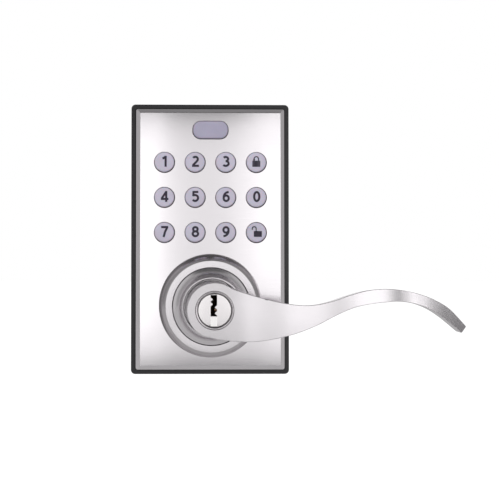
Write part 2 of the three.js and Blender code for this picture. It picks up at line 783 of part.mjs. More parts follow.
function returnSpring() {
  const middle = (coilBack + coilFront) / 2;
  const legAngle = THREE.MathUtils.radToDeg((fingerWidth / 2 + gap + wireRadius) / fingerInnerRadius);
  const start = -90 + legAngle;
  const sweep = 360 * coilTurns - 2 * legAngle;
  const spot = (radius, degrees, level) => new THREE.Vector3(...polar(radius, degrees), level);
  const route = [spot(fingerOuterRadius, start, middle), spot(fingerInnerRadius, start, middle)];
  const pointsPerTurn = 12;
  const count = Math.round(coilTurns * pointsPerTurn);
  for (let i = 0; i <= count; i++) {
    const along = 0.01 + 0.98 * (i / count);
    route.push(spot(coilRadius, start + sweep * along, coilBack + (coilFront - coilBack) * along));
  }
  route.push(spot(fingerInnerRadius, start + sweep, middle), spot(fingerOuterRadius, start + sweep, middle));
  const wire = new THREE.Shape().absarc(0, 0, wireRadius, 0, 2 * Math.PI);
  const extrudePath = new THREE.CatmullRomCurve3(route, false, 'centripetal');
  return solid(new THREE.ExtrudeGeometry(wire, { steps: coilSteps, extrudePath, curveSegments: 2 }));
}

// Turning group

function driveTube() {
  const spigotRadius = shellRadius;
  const ringSlotBack = cassetteFront - tubeRingThickness - gap;
  const profile = [
    [tubeBore, tubeBack], [tubeRadius, tubeBack], [tubeRadius, ringSlotBack],
    [tubeRadius - tubeRingGroove, ringSlotBack], [tubeRadius - tubeRingGroove, cassetteFront + gap],
    [tubeRadius, cassetteFront + gap], [tubeRadius, tubeFlangeBack],
    [collarRimBore - tubeFlangeGap, tubeFlangeBack], [collarRimBore - tubeFlangeGap, tubeFlangeFront],
    [spigotRadius, tubeFlangeFront], [spigotRadius, spigotFront], [tubeBore, spigotFront],
  ];
  let body = revolve([...profile, profile[0]]);
  const [half, floor] = [keywayWidth / 2, tubeRadius - keywayDepth];
  body = body.subtract(block(floor, tubeRadius + overcut, -half, half, tubeBack - overcut, keywayEnd));
  body = body.subtract(block(-tubeRadius - overcut, -floor, -half, half, tubeBack - overcut, keywayEnd));
  const pinHole = radialHole(tubePinRadius + gap, tubeBore - overcut, spigotRadius + overcut, tubePinLevel());
  return body.subtract(pinHole);
}

function tubePinLevel() {
  return (neckBack + spigotFront) / 2;
}

// A round bar along -y at a level of z, between two radii
function radialHole(radius, inner, outer, level, segments = coarse) {
  const geometry = new THREE.CylinderGeometry(radius, radius, outer - inner, segments);
  return solid(geometry.translate(0, -(inner + outer) / 2, level));
}

function tubePin() {
  return radialHole(tubePinRadius, tubeBore + gap, hubRadius - gap, tubePinLevel());
}

function tubeRetainingRing() {
  const back = cassetteFront - tubeRingThickness;
  const body = ring(tubeRadius - tubeRingGroove + gap, tubeRingRadius, back, cassetteFront);
  const reach = tubeRingRadius + overcut;
  const mouth = block(-clipMouth / 2, clipMouth / 2, 0, reach, back - overcut, cassetteFront + overcut);
  return body.subtract(mouth);
}

// How far the front of the arm lies from the door face
function armFront(x) {
  const reach = armTopEdge.at(-1)[0] - armSetbackStart;
  const along = Math.max(0, (x - armSetbackStart) / reach);
  return leverFront - armTipSetback * along ** armSetbackPower;
}

// A square section with rounded corners, swept along the arm and stretched to its two edges
function leverArm() {
  const edge = (points) => new THREE.CatmullRomCurve3(points.map(([x, y]) => new THREE.Vector3(x, y, 0)));
  const [topEdge, bottomEdge] = [edge(armTopEdge), edge(armBottomEdge)];
  const outline = roundedOutline(2 * sectionHalf, 2 * sectionHalf, armEdgeRadius);
  const options = { depth: 1, steps: armSteps, curveSegments: 2, bevelEnabled: false };
  const geometry = new THREE.ExtrudeGeometry(outline, options);
  const places = geometry.attributes.position;
  const stretch = (value, half) => Math.sign(value) * (half - sectionHalf + Math.abs(value));
  for (let i = 0; i < places.count; i++) {
    const along = places.getZ(i);
    const top = topEdge.getPoint(along);
    const bottom = bottomEdge.getPoint(along);
    const middle = top.clone().lerp(bottom, 0.5);
    const across = top.clone().sub(middle);
    const height = stretch(places.getX(i), across.length());
    const depth = THREE.MathUtils.lerp(armRootDepth, armTipDepth, along);
    const spot = middle.clone().addScaledVector(across.normalize(), height);
    places.setXYZ(i, spot.x, spot.y, armFront(middle.x) - depth / 2 + stretch(places.getY(i), depth / 2));
  }
  return solid(geometry);
}

function lever() {
  const hub = revolve([
    [0, neckBack], [hubRadius, neckBack], [hubRadius, leverFront - hubEdge],
    [hubRadius - edgeBreak, leverFront - edgeBreak], [hubRadius - hubEdge, leverFront],
    [0, leverFront],
  ]);
  const bore = disc(shellRadius + gap, neckBack - overcut, leverFront + overcut, 0, 0, fine);
  const half = bibleWidth / 2 + gap;
  const bibleSlot = block(-half, half, 0, bibleTop + gap, neckBack - overcut, bibleFront + gap);
  const grubHole = radialHole(grubRadius + gap, shellRadius, grubHoleReach, leverFront - grubSetback);
  const pinHole = radialHole(tubePinRadius + gap, shellRadius, hubRadius + overcut, tubePinLevel());
  return hub.add(leverArm()).subtract(bore).subtract(bibleSlot).subtract(grubHole).subtract(pinHole);
}

function leverGrubScrew() {
  const back = shellRadius + gap;
  const body = radialHole(grubRadius, back, back + grubLength, leverFront - grubSetback);
  return body.subtract(radialHole(
    hexRadius, back + grubLength - hexDepth, back + grubLength + overcut, leverFront - grubSetback, 6,
  ));
}

// Key cylinder

function cylinderShell() {
  const inner = shellRadius - shellWall;
  const profile = [
    [inner, shellBack], [shellRadius, shellBack], [shellRadius, shellFront - edgeBreak],
    [shellRadius - edgeBreak, shellFront], [inner, plugFront],
  ];
  const bible = block(-bibleWidth / 2, bibleWidth / 2, 0, bibleTop, shellBack, bibleFront);
  const chamber = disc(inner, shellBack - overcut, leverFront + overcut, 0, 0, fine);
  return revolve([...profile, profile[0]]).add(bible.subtract(chamber));
}

function wards(sideX, reachX, levels) {
  let body = null;
  for (const level of levels) {
    const outline = new THREE.Shape();
    outline.moveTo(sideX, level + wardHeight);
    outline.lineTo(sideX, level - wardHeight);
    outline.lineTo(reachX, level - wardHeight / 4);
    outline.lineTo(reachX, level + wardHeight / 4);
    outline.closePath();
    const ward = slab(outline, plugFront - slotDepth - overcut, plugFront + overcut);
    body = body ? body.add(ward) : ward;
  }
  return body;
}

function cylinderPlug() {
  const clipBack = shellBack - gap - plugClipThickness;
  const profile = [
    [0, plugJournalBack], [plugJournalRadius, plugJournalBack], [plugJournalRadius, clipBack - gap],
    [plugJournalRadius - plugClipGroove, clipBack - gap], [plugJournalRadius - plugClipGroove, shellBack],
    [plugJournalRadius, shellBack], [plugJournalRadius, shellBack + gap], [plugRadius, shellBack + gap],
    [plugRadius, plugFront - edgeBreak], [plugRadius - edgeBreak, plugFront], [0, plugFront],
  ];
  const faceCut = plugFront + overcut;
  const slot = block(slotLeft, slotRight, slotBottom, slotTop, plugFront - slotDepth, faceCut);
  const keySlot = slot
    .subtract(wards(slotLeft - gap, slotLeft + wardReach, leftWards))
    .subtract(wards(slotRight + gap, slotRight - wardReach, rightWards));
  const notch = block(slotLeft, slotRight, notchBottom, notchTop, plugFront - notchDepth, faceCut);
  const socketHalf = [tailpieceWidth / 2 + gap, tailpieceThickness / 2 + gap];
  const socket = block(
    -socketHalf[0], socketHalf[0], -socketHalf[1], socketHalf[1],
    plugJournalBack - overcut, plugJournalBack + tailpieceSocketDepth + gap,
  );
  return revolve(profile).subtract(keySlot).subtract(notch).subtract(socket).subtract(pinBore());
}

function pinBore() {
  return pinBar(pinRadius + gap, pinX, plugRadius + overcut);
}

// A round bar along +x in the side of the keyway
function pinBar(radius, start, end) {
  const geometry = new THREE.CylinderGeometry(radius, radius, end - start, coarse).rotateZ(Math.PI / 2);
  return solid(geometry.translate((start + end) / 2, pinY, plugFront - pinSetback));
}

function keyPin() {
  return pinBar(pinRadius, pinX, pinX + pinLength);
}

function plugClip() {
  const front = shellBack - gap;
  const [back, inner] = [front - plugClipThickness, plugJournalRadius - plugClipGroove + gap];
  const reach = plugClipRadius + overcut;
  const mouth = block(-clipMouth / 2, clipMouth / 2, 0, reach, back - overcut, front + overcut);
  return ring(inner, plugClipRadius, back, front).subtract(mouth);
}

function tailpiece() {
  return block(
    -tailpieceWidth / 2, tailpieceWidth / 2, -tailpieceThickness / 2, tailpieceThickness / 2,
    -tailpieceLength, plugJournalBack + tailpieceSocketDepth,
  );
}

// Spindle and clutch

function spindle() {
  const half = spindleSide / 2;
  const bar = block(-half, half, -half, half, -spindleLength, floorFront);
  const journal = disc(journalRadius, floorFront - gap, discBack + gap);
  const plate = disc(discRadius, discBack, discFront, 0, 0, fine);
  const slotHalf = dogWidth / 2 + gap;
  const inner = tubeRadius + gap;
  let body = bar.add(journal).add(plate).subtract(
    disc(spindleBoreRadius, -spindleLength - overcut, discFront + overcut, 0, 0, coarse),
  );
  for (const side of [-1, 1]) {
    const [left, right] = [side * inner, side * (discRadius + overcut)].sort((a, b) => a - b);
    body = body.subtract(block(left, right, -slotHalf, slotHalf, discBack - overcut, discFront + overcut));
  }
  return body;
}

function clutchRing() {
  const inner = tubeRadius + gap;
  const grooveFront = clutchGrooveBack + clutchGrooveWidth;
  const profile = [
    [inner, clutchBack], [clutchRadius, clutchBack], [clutchRadius, clutchGrooveBack],
    [clutchGrooveRadius, clutchGrooveBack], [clutchGrooveRadius, grooveFront],
    [clutchRadius, grooveFront], [clutchRadius, clutchFront], [inner, clutchFront],
  ];
  let body = revolve([...profile, profile[0]]).add(keywayLugs(clutchBack, clutchFront));
  const half = dogWidth / 2;
  for (const side of [-1, 1]) {
    const edges = [side * (inner + gap), side * (discRadius - dogRimInset)];
    const [left, right] = edges.sort((a, b) => a - b);
    body = body.add(block(left, right, -half, half, dogBack, clutchBack + gap));
  }
  return body;
}

// A half ring in the clutch ring's groove, with a nut boss on the lead screw
function clutchFork() {
  const inner = clutchGrooveRadius + gap;
  const outline = new THREE.Shape();
  outline.absarc(0, 0, forkOuterRadius, 0, Math.PI);
  outline.absarc(0, 0, inner, Math.PI, 0, true);
  outline.closePath();
  const half = forkStemWidth / 2;
  let body = slab(outline, forkBack, forkFront, 0, 0, 16);
  body = body.add(block(-half, half, (inner + forkOuterRadius) / 2, leadScrewY, forkBack, forkFront));
  body = body.add(disc(forkBossRadius, forkBack - forkBossRise, forkFront + forkBossRise, 0, leadScrewY));
  return body.subtract(disc(
    leadScrewRadius + gap, forkBack - overcut, forkFront + overcut, 0, leadScrewY, coarse,
  ));
}

function leadScrew() {
  return disc(leadScrewRadius, mountingPlateBack + gap, motorBack - gap, 0, 0, coarse);
}

function motorBracket() {
  const [halfWidth, halfHeight] = [bracketWidth / 2, bracketHeight / 2];
  const [bottom, top] = [leadScrewY - halfHeight, leadScrewY + halfHeight];
  const legBack = mountingPlateFront + gap;
  const outer = block(-halfWidth, halfWidth, bottom, top, legBack, bracketFront);
  const inside = halfWidth - bracketThickness;
  let body = outer.subtract(block(
    -inside, inside, bottom - overcut, top + overcut, legBack - overcut, bracketBack,
  ));
  const tabHalf = bracketHeight / 4;
  for (const side of [-1, 1]) {
    const [left, right] = [side * inside, side * halfWidth].sort((a, b) => a - b);
    const tab = block(
      left, right, leadScrewY - tabHalf, leadScrewY + tabHalf, mountingPlateBack + gap, legBack + gap,
    );
    body = body.add(tab);
  }
  return body.subtract(disc(
    leadScrewRadius + gap, bracketBack - overcut, bracketFront + overcut, 0, leadScrewY, coarse,
  ));
}

function clutchMotor() {
  return disc(motorRadius, motorBack, faceplateBack - gap);
}

// Keypad

function roundKey() {
  const front = faceplateFront + keyRise;
  const flangeRadius = keyRadius + keyFlangeWidth;
  return revolve([
    [0, keyStemBack], [keyStemRadius, keyStemBack], [keyStemRadius, keyFlangeBack],
    [flangeRadius, keyFlangeBack], [flangeRadius, keyFlangeFront], [keyRadius, keyFlangeFront],
    [keyRadius, front - keyEdge], [keyRadius - keyEdge, front], [0, front],
  ], medium);
}

function wakeKey() {
  const front = faceplateFront + keyRise;
  const cap = bevelledSlab(
    wakeKeyWidth, wakeKeyHeight, wakeKeyCorner, keyFlangeBack, front, 0, 0, keyEdge, keyEdge,
  );
  const flange = roundedOutline(
    wakeKeyWidth + 2 * keyFlangeWidth, wakeKeyHeight + 2 * keyFlangeWidth, wakeKeyCorner + keyFlangeWidth,
  );
  const stem = disc(keyStemRadius, keyStemBack, keyFlangeBack + gap);
  return cap.add(slab(flange, keyFlangeBack, keyFlangeFront)).add(stem);
}

// One silicone sheet with a hollow dome under each key
function keyMat() {
  const domePlaces = [...keyPlaces, { x: 0, y: wakeKeyY }];
  const matWidth = (keyColumnCount - 1) * keyColumnPitch + 2 * (domeBaseRadius + matMargin);
  const matTop = wakeKeyY + domeBaseRadius + matMargin;
  const matBottom = keyBottomRowY - domeBaseRadius - matMargin;
  const outline = roundedOutline(matWidth, matTop - matBottom, matCorner);
  let body = slab(outline, webBack, webFront, 0, (matTop + matBottom) / 2);
  for (const { x, y } of domePlaces) {
    body = body.add(cone(domeBaseRadius, domeTopRadius, webBack + gap, domeFront, x, y, coarse));
  }
  for (const { x, y } of domePlaces) {
    const [backRadius, frontRadius] = [domeBaseRadius - domeSkin, domeTopRadius - domeSkin];
    body = body.subtract(cone(backRadius, frontRadius, webBack - gap, domeFront - domeSkin, x, y, coarse));
  }
  return body;
}

function circuitBoard() {
  const outline = roundedOutline(boardWidth, boardTop - boardBottom, boardCorner);
  let body = slab(outline, boardBack, boardFront, 0, boardCentreY);
  for (const [x, y] of boardScrewPlaces) {
    const [back, front] = [boardBack - overcut, boardFront + overcut];
    body = body.subtract(disc(boardScrewShankRadius + gap, back, front, x, y, coarse));
  }
  return body;
}

function boardScrew() {
  const headFront = boardFront + gap + boardScrewHeadHeight;
  const back = boardBack - threadEngagement + gap;
  return screwFromFront(boardScrewHeadRadius, boardScrewHeadHeight, boardScrewShankRadius, headFront, back);
}

function processor() {
  const half = chipSize / 2;
  return block(-half, half, -half, half, boardBack - gap - chipHeight, boardBack - gap);
}

function buzzer() {
  const [back, front] = [boardBack - gap - buzzerHeight, boardBack - gap];
  return disc(buzzerRadius, back, front).subtract(
    disc(buzzerHoleRadius, back - overcut, back + buzzerHeight / 2, 0, 0, coarse),
  );
}

function capacitor() {
  return disc(capacitorRadius, boardBack - gap - capacitorHeight, boardBack - gap, 0, 0, coarse);
}

function cableSocket() {
  const [back, front] = [boardBack - gap - socketDepth, boardBack - gap];
  const [halfWidth, halfHeight] = [socketWidth / 2, socketHeight / 2];
  const outer = block(-halfWidth, halfWidth, -halfHeight, halfHeight, back, front);
  return outer.subtract(block(
    -halfWidth + socketWall, halfWidth - socketWall, -halfHeight + socketWall, halfHeight - socketWall,
    back - overcut, front - socketWall,
  ));
}

// Assembly
place('gasket', gasket(), blackRubber);
place('back_housing', backHousing(), blackShell);
place('mounting_plate', mountingPlate(), zincSteel);
postPlaces.forEach((x, index) => place(`mounting_post_${index + 1}`, mountingPost(), zincSteel, x));
[-plateScrewX, plateScrewX].forEach((x, index) => {
  place(`plate_screw_${index + 1}`, plateScrew(), zincSteel, x, plateScrewY);
});
place('faceplate', faceplate(), satinNickel);
cornerScrewPlaces.forEach(([x, y], index) => {
  place(`faceplate_screw_${index + 1}`, faceplateScrew(), zincSteel, x, y);
});
place('rose_ring', roseRing(), satinNickel);
roseScrewAngles.forEach((degrees, index) => {
  place(`rose_screw_${index + 1}`, roseScrew(), zincSteel, ...polar(roseScrewRadius, degrees));
});
place('bearing_collar', bearingCollar(), satinNickel);
place('spring_cassette', springCassette(), zincSteel);
place('return_spring', returnSpring(), springSteel);
place('spring_driver', springDriver(), darkSteel);
place('drive_tube', driveTube(), zincSteel);
place('tube_pin', tubePin(), darkSteel);
place('tube_retaining_ring', tubeRetainingRing(), springSteel);
place('lever', lever(), satinNickel);
place('lever_grub_screw', leverGrubScrew(), darkSteel);
place('cylinder_shell', cylinderShell(), brightNickel);
place('cylinder_plug', cylinderPlug(), brightNickel);
place('key_pin', keyPin(), brass);
place('plug_clip', plugClip(), springSteel);
place('tailpiece', tailpiece(), zincSteel);
place('spindle', spindle(), zincSteel);
place('clutch_ring', clutchRing(), darkSteel);
place('clutch_fork', clutchFork(), zincSteel);
place('lead_screw', leadScrew(), brass, 0, leadScrewY);
place('motor_bracket', motorBracket(), zincSteel);
place('clutch_motor', clutchMotor(), darkSteel, 0, leadScrewY);
keyPlaces.forEach(({ name, x, y }) => place(name, roundKey(), keyPlastic, x, y));
place('wake_key', wakeKey(), keyPlastic, 0, wakeKeyY);
place('key_mat', keyMat(), silicone);
place('circuit_board', circuitBoard(), boardGreen);
boardScrewPlaces.forEach(([x, y], index) => place(`board_screw_${index + 1}`, boardScrew(), zincSteel, x, y));
place('processor', processor(), chipBlack, chipX, chipY);
place('buzzer', buzzer(), chipBlack, buzzerX, buzzerY);
place('capacitor', capacitor(), springSteel, capacitorX, capacitorY);
place('cable_socket', cableSocket(), socketWhite, socketX, socketY);

export default lock;
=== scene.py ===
import bmesh
import bpy
import math
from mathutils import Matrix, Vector
from mathutils.geometry import delaunay_2d_cdt


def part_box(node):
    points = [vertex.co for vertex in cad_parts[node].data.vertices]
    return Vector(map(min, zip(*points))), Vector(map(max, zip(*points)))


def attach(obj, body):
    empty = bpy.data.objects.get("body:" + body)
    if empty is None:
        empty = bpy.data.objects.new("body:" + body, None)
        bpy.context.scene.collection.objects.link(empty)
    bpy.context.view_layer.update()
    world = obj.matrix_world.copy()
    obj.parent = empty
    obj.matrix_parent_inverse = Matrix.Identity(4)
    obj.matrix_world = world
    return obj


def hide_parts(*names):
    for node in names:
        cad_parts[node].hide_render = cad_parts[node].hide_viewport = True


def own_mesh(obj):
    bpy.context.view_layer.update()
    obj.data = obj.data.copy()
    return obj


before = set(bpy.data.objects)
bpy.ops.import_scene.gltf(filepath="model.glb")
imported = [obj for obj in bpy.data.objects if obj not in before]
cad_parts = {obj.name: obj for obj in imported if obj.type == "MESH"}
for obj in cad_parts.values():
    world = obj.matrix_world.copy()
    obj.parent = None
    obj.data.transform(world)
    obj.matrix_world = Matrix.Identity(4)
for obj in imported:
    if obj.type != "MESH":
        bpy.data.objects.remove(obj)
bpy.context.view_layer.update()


# Studio: a plain pale floor well below the lock, white air round it, and soft boxes in the
# camera's plane. The flat nickel faces mirror the boxes as soft upright bands.

def spot(x, up, out):
    """A point in millimetres to the right, up and out of the door, as a Blender point in metres."""
    return Vector((x, -out, up)) * 0.001


def srgb(text):
    """An sRGB hex colour as linear red, green, blue and alpha."""
    parts = [int(text[i:i + 2], 16) / 255 for i in (1, 3, 5)]
    return [p / 12.92 if p <= 0.04045 else ((p + 0.055) / 1.055) ** 2.4 for p in parts] + [1.0]


def node(tree, kind, inputs={}, **settings):
    """Adds a node with its own settings. Each input is a plain value, a socket, or a node that
    stands for its first live output. A colour mix takes its share as 0 and its colours as 6 and 7."""
    added = tree.nodes.new(kind)
    for name, value in settings.items():
        setattr(added, name, value)
    for name, value in inputs.items():
        if isinstance(value, bpy.types.Node):
            value = next(socket for socket in value.outputs if socket.enabled)
        if isinstance(value, bpy.types.NodeSocket):
            tree.links.new(value, added.inputs[name])
        else:
            added.inputs[name].default_value = value
    return added


def empty_material(name):
    """A material with no nodes yet, and its node tree."""
    made = bpy.data.materials.new(name)
    made.use_nodes = True
    made.node_tree.nodes.clear()
    return made, made.node_tree


def in_scene(name, data):
    """A new object in the scene."""
    added = bpy.data.objects.new(name, data)
    bpy.context.scene.collection.objects.link(added)
    return added


# The camera stands half a metre out from the door.
camera_data = bpy.data.cameras.new("camera")
camera_data.sensor_width = 36.0
camera_data.lens = 74.7
camera_data.shift_x = 0.1421
camera_data.shift_y = -0.0673
camera = in_scene("camera", camera_data)
camera.location = spot(-24.23, 28.94, 514.17)
camera.rotation_euler = [math.radians(angle) for angle in (91.53, -0.063, -1.066)]
bpy.context.scene.camera = camera
bpy.context.scene.view_settings.view_transform = "Standard"

# The shiny faces mirror a room that is white behind the lock, grey beside it, pale at a slant in front and
# dark straight ahead, with two dark cards overhead. The dull faces get soft light from the upper left.
air = bpy.data.worlds.new("studio_air")
bpy.context.scene.world = air
air.use_nodes = True
sky = air.node_tree
sky.nodes.clear()
path = node(sky, "ShaderNodeLightPath").outputs
around = node(sky, "ShaderNodeTexCoord").outputs["Generated"]
heading = node(sky, "ShaderNodeSeparateXYZ", {"Vector": around}).outputs
facing = node(sky, "ShaderNodeMapRange", {"Value": heading["Y"], "From Min": 1.0, "From Max": -1.0})
room = node(sky, "ShaderNodeValToRGB", {"Fac": facing})
height = node(sky, "ShaderNodeMapRange", {"Value": heading["Z"], "From Min": -1.0})
shade = node(sky, "ShaderNodeValToRGB", {"Fac": height})
room_levels = [
    (0.15, "#ffffff"), (0.25, "#828282"), (0.33, "#8c8c8c"), (0.41, "#9c9c9c"), (0.5, "#a6a6a6"),
    (0.63, "#b8b8b8"), (0.72, "#dcdcdc"), (0.76, "#dedede"), (0.82, "#b0b0b0"), (0.87, "#8a8a8a"),
    (0.94, "#747474"), (1.0, "#6d6d6d")]
for levels, stops in (
        (room_levels, room.color_ramp.elements),
        ([(0.5, "#ffffff"), (0.8, "#f4f4f4"), (1.0, "#e6e6e6")], shade.color_ramp.elements)):
    stops[0].position = levels[0][0]
    stops[0].color, stops[1].color = srgb(levels[0][1]), srgb(levels[-1][1])
    for place, level in levels[1:-1]:
        stops.new(place).color = srgb(level)
mirrored_room = node(sky, "ShaderNodeMix", {
    0: 1.0, 6: room, 7: shade}, data_type="RGBA", blend_type="MULTIPLY")
dark_card, dark_blind = [
    node(sky, "ShaderNodeMapRange", {
        "Value": node(sky, "ShaderNodeVectorMath", {0: around, 1: aim}, operation="DOT_PRODUCT"),
        "From Min": start, "From Max": full}, interpolation_type="SMOOTHSTEP")
    for aim, start, full in (((0.03, -0.56, 0.828), 0.83, 0.91), ((0.0, 0.34, 0.94), 0.93, 0.97))]
dark = node(sky, "ShaderNodeMath", {0: dark_card, 1: dark_blind}, operation="MAXIMUM")
mirrored_room = node(sky, "ShaderNodeMix", {
    0: dark, 6: mirrored_room, 7: srgb("#565656")}, data_type="RGBA")
upper_left = node(sky, "ShaderNodeVectorMath", {0: around, 1: (-0.45, 0.0, 0.85)}, operation="DOT_PRODUCT")
soft = node(sky, "ShaderNodeMapRange", {"Value": upper_left, "From Min": -1.0})
soft = node(sky, "ShaderNodeMix", {
    0: soft, 6: srgb("#8c8c8c"), 7: srgb("#ffffff")}, data_type="RGBA")
shine = node(sky, "ShaderNodeMix", {
    0: path["Is Glossy Ray"], 6: soft, 7: mirrored_room}, data_type="RGBA")
seen = node(sky, "ShaderNodeMath", {
    0: path["Is Camera Ray"], 1: path["Is Transmission Ray"]}, operation="MAXIMUM")
colour = node(sky, "ShaderNodeMix", {
    0: seen, 6: shine, 7: srgb("#ffffff")}, data_type="RGBA")
light = node(sky, "ShaderNodeBackground", {"Color": colour, "Strength": 1.0})
node(sky, "ShaderNodeOutputWorld", {"Surface": light})


box_out = 520


def soft_box(name, left, right, bottom, top, brightness):
    """A flat lamp that faces the door. A brightness of 1 is that of a white card in full light."""
    lamp = bpy.data.lights.new(name, "AREA")
    lamp.shape = "RECTANGLE"
    lamp.size = (right - left) * 0.001
    lamp.size_y = (top - bottom) * 0.001
    lamp.energy = brightness * math.pi * lamp.size * lamp.size_y
    hung = in_scene(name, lamp)
    hung.location = spot((left + right) / 2, (bottom + top) / 2, box_out)
    hung.rotation_euler = (math.radians(90), 0, 0)
    hung.visible_camera = False


soft_box("left_box", -90, -20, -50, 156, 1.4)
soft_box("left_foot", -90, -20, -84, -50, 1.1)
soft_box("middle_screen", -20, 46, -81, 149, 0.78)
soft_box("screen_edge", 46, 66, -14, 150, 1.0)
soft_box("screen_foot", 46, 76, -83, -14, 0.76)
soft_box("right_foot", 76, 102, -84, -14, 1.05)
soft_box("right_box", 66, 102, -14, 165, 1.28)
soft_box("blade_box", 102, 156, -78, 150, 1.1)
soft_box("long_box", 156, 240, -78, 150, 1.38)
soft_box("second_box", 256, 339, -78, 150, 1.5)
soft_box("edge_strip", 366, 406, -78, 150, 1.75)

floor_level, floor_reach, floor_behind = -135, 4000, 300
floor_mesh = bpy.data.meshes.new("studio_floor")
floor_mesh.from_pydata([spot(x, floor_level, out) for x, out in (
    (-floor_reach, floor_behind), (floor_reach, floor_behind), (floor_reach, -floor_reach),
    (-floor_reach, -floor_reach))], [], [(3, 2, 1, 0)])
floor = in_scene("studio_floor", floor_mesh)
pale, tree = empty_material("matt_pale_floor")
path = node(tree, "ShaderNodeLightPath").outputs
direct = node(tree, "ShaderNodeMath", {
    0: path["Is Camera Ray"], 1: path["Is Transmission Ray"]}, operation="MAXIMUM")
grit = node(tree, "ShaderNodeTexNoise", {
    "Vector": node(tree, "ShaderNodeTexCoord").outputs["Object"], "Scale": 400.0})
tone = node(tree, "ShaderNodeMix", {
    0: grit, 6: srgb("#c6c6c6"), 7: srgb("#cecece")}, data_type="RGBA")
matt = node(tree, "ShaderNodeBsdfDiffuse", {"Color": tone})
glow = node(tree, "ShaderNodeEmission", {"Strength": direct, "Color": srgb("#cccccc")})
both = node(tree, "ShaderNodeAddShader", {0: matt, 1: glow})
node(tree, "ShaderNodeOutputMaterial", {"Surface": both})
floor_mesh.materials.append(pale)


# Faceplate: a die-cast zinc cover with a satin nickel finish, chamfered all round, with a short skirt.
# It is screwed from behind through the four corner bosses. The holes for the keys and the handle have
# slightly rolled edges; the screw holes are plain.

def solid(name, points, faces, finish):
    """A mesh object whose faces are turned outwards."""
    shell = bmesh.new()
    corners = [shell.verts.new(point) for point in points]
    for face in faces:
        shell.faces.new([corners[i] for i in face])
    bmesh.ops.recalc_face_normals(shell, faces=shell.faces[:])
    mesh = bpy.data.meshes.new(name)
    shell.to_mesh(mesh)
    shell.free()
    mesh.materials.append(finish)
    return in_scene(name, mesh)


def outline(width, height, corner, x=0.0, up=0.0, steps=6):
    """A rectangle with rounded corners, as (x, up) points that run anticlockwise."""
    points = []
    for quarter, (right, top) in enumerate([(1, 1), (-1, 1), (-1, -1), (1, -1)]):
        middle_x = x + right * (width / 2 - corner)
        middle_up = up + top * (height / 2 - corner)
        for step in range(steps + 1):
            angle = math.radians(90 * (quarter + step / steps))
            points.append((middle_x + corner * math.cos(angle), middle_up + corner * math.sin(angle)))
    return points


def stack(name, layers, finish):
    """A closed solid through outlines at different distances out of the door, from back to front."""
    count = len(layers[0][0])
    points = [spot(x, up, out) for shape, out in layers for x, up in shape]
    faces = [list(range(count)), [len(points) - count + i for i in range(count)]]
    for level in range(len(layers) - 1):
        for i in range(count):
            low, next_low = level * count + i, level * count + (i + 1) % count
            faces.append([low, next_low, next_low + count, low + count])
    return solid(name, points, faces, finish)


def block(name, shape, back, front, finish):
    """A closed solid with straight walls along one outline."""
    return stack(name, [(shape, back), (shape, front)], finish)


def turned(name, profile, finish, x=0.0, up=0.0, sides=96):
    """A profile of (radius, out) points turned round an axis that points out of the door."""
    points, rings, faces = [], [], []
    for radius, out in profile:
        turns = range(1 if radius == 0 else sides)
        rings.append([len(points) + turn for turn in turns])
        for turn in turns:
            angle = 2 * math.pi * turn / sides
            points.append(spot(x + radius * math.cos(angle), up + radius * math.sin(angle), out))
    whole = profile[0][0] == 0
    for near, far in zip(rings, rings[1:] if whole else rings[1:] + rings[:1]):
        for turn in range(sides):
            here, there = turn, (turn + 1) % sides
            corners = (
                near[here % len(near)], near[there % len(near)], far[there % len(far)], far[here % len(far)])
            faces.append(list(dict.fromkeys(corners)))
    return solid(name, points, faces, finish)


def bar(name, radius, back, front, finish, x=0.0, up=0.0, sides=32):
    """A plain round bar that points out of the door, for a boss or to cut a straight hole with."""
    return turned(name, [(0, back), (radius, back), (radius, front), (0, front)], finish, x, up, sides)


def settle(piece):
    """Turns a piece's modifiers into plain mesh."""
    bpy.context.view_layer.update()
    graph = bpy.context.evaluated_depsgraph_get()
    mesh = bpy.data.meshes.new_from_object(
        piece.evaluated_get(graph), preserve_all_data_layers=True, depsgraph=graph)
    piece.modifiers.clear()
    piece.data = mesh
    return piece


def together(name, pieces):
    """Joins separate meshes into one object, each with its own finish."""
    shell = bmesh.new()
    finishes = []
    for piece in pieces:
        start = len(shell.faces)
        shell.from_mesh(piece.data)
        shell.faces.ensure_lookup_table()
        finishes += [finish for finish in piece.data.materials if finish not in finishes]
        for face in shell.faces[start:]:
            face.material_index = finishes.index(piece.data.materials[face.material_index])
    mesh = bpy.data.meshes.new(name)
    shell.to_mesh(mesh)
    shell.free()
    for finish in finishes:
        mesh.materials.append(finish)
    for piece in pieces:
        bpy.data.objects.remove(piece)
    return in_scene(name, mesh)


def shape(piece, tool, operation="DIFFERENCE"):
    """Cuts a piece with a tool, or joins the two, and uses the tool up."""
    change = piece.modifiers.new("shape", "BOOLEAN")
    change.solver = "MANIFOLD"
    change.operation = operation
    change.object = tool
    settle(piece)
    bpy.data.objects.remove(tool)
    return piece


def smooth(piece, angle=35, flats=True):
    """Shades curves smooth and keeps corners sharper than the angle. Large flats stay flat."""
    piece.data.shade_smooth()
    piece.data.set_sharp_from_angle(angle=math.radians(angle))
    if flats:
        weigh = piece.modifiers.new("flats", "WEIGHTED_NORMAL")
        weigh.mode = "FACE_AREA"
        weigh.weight = 100
        weigh.keep_sharp = True
        settle(piece)
    return piece


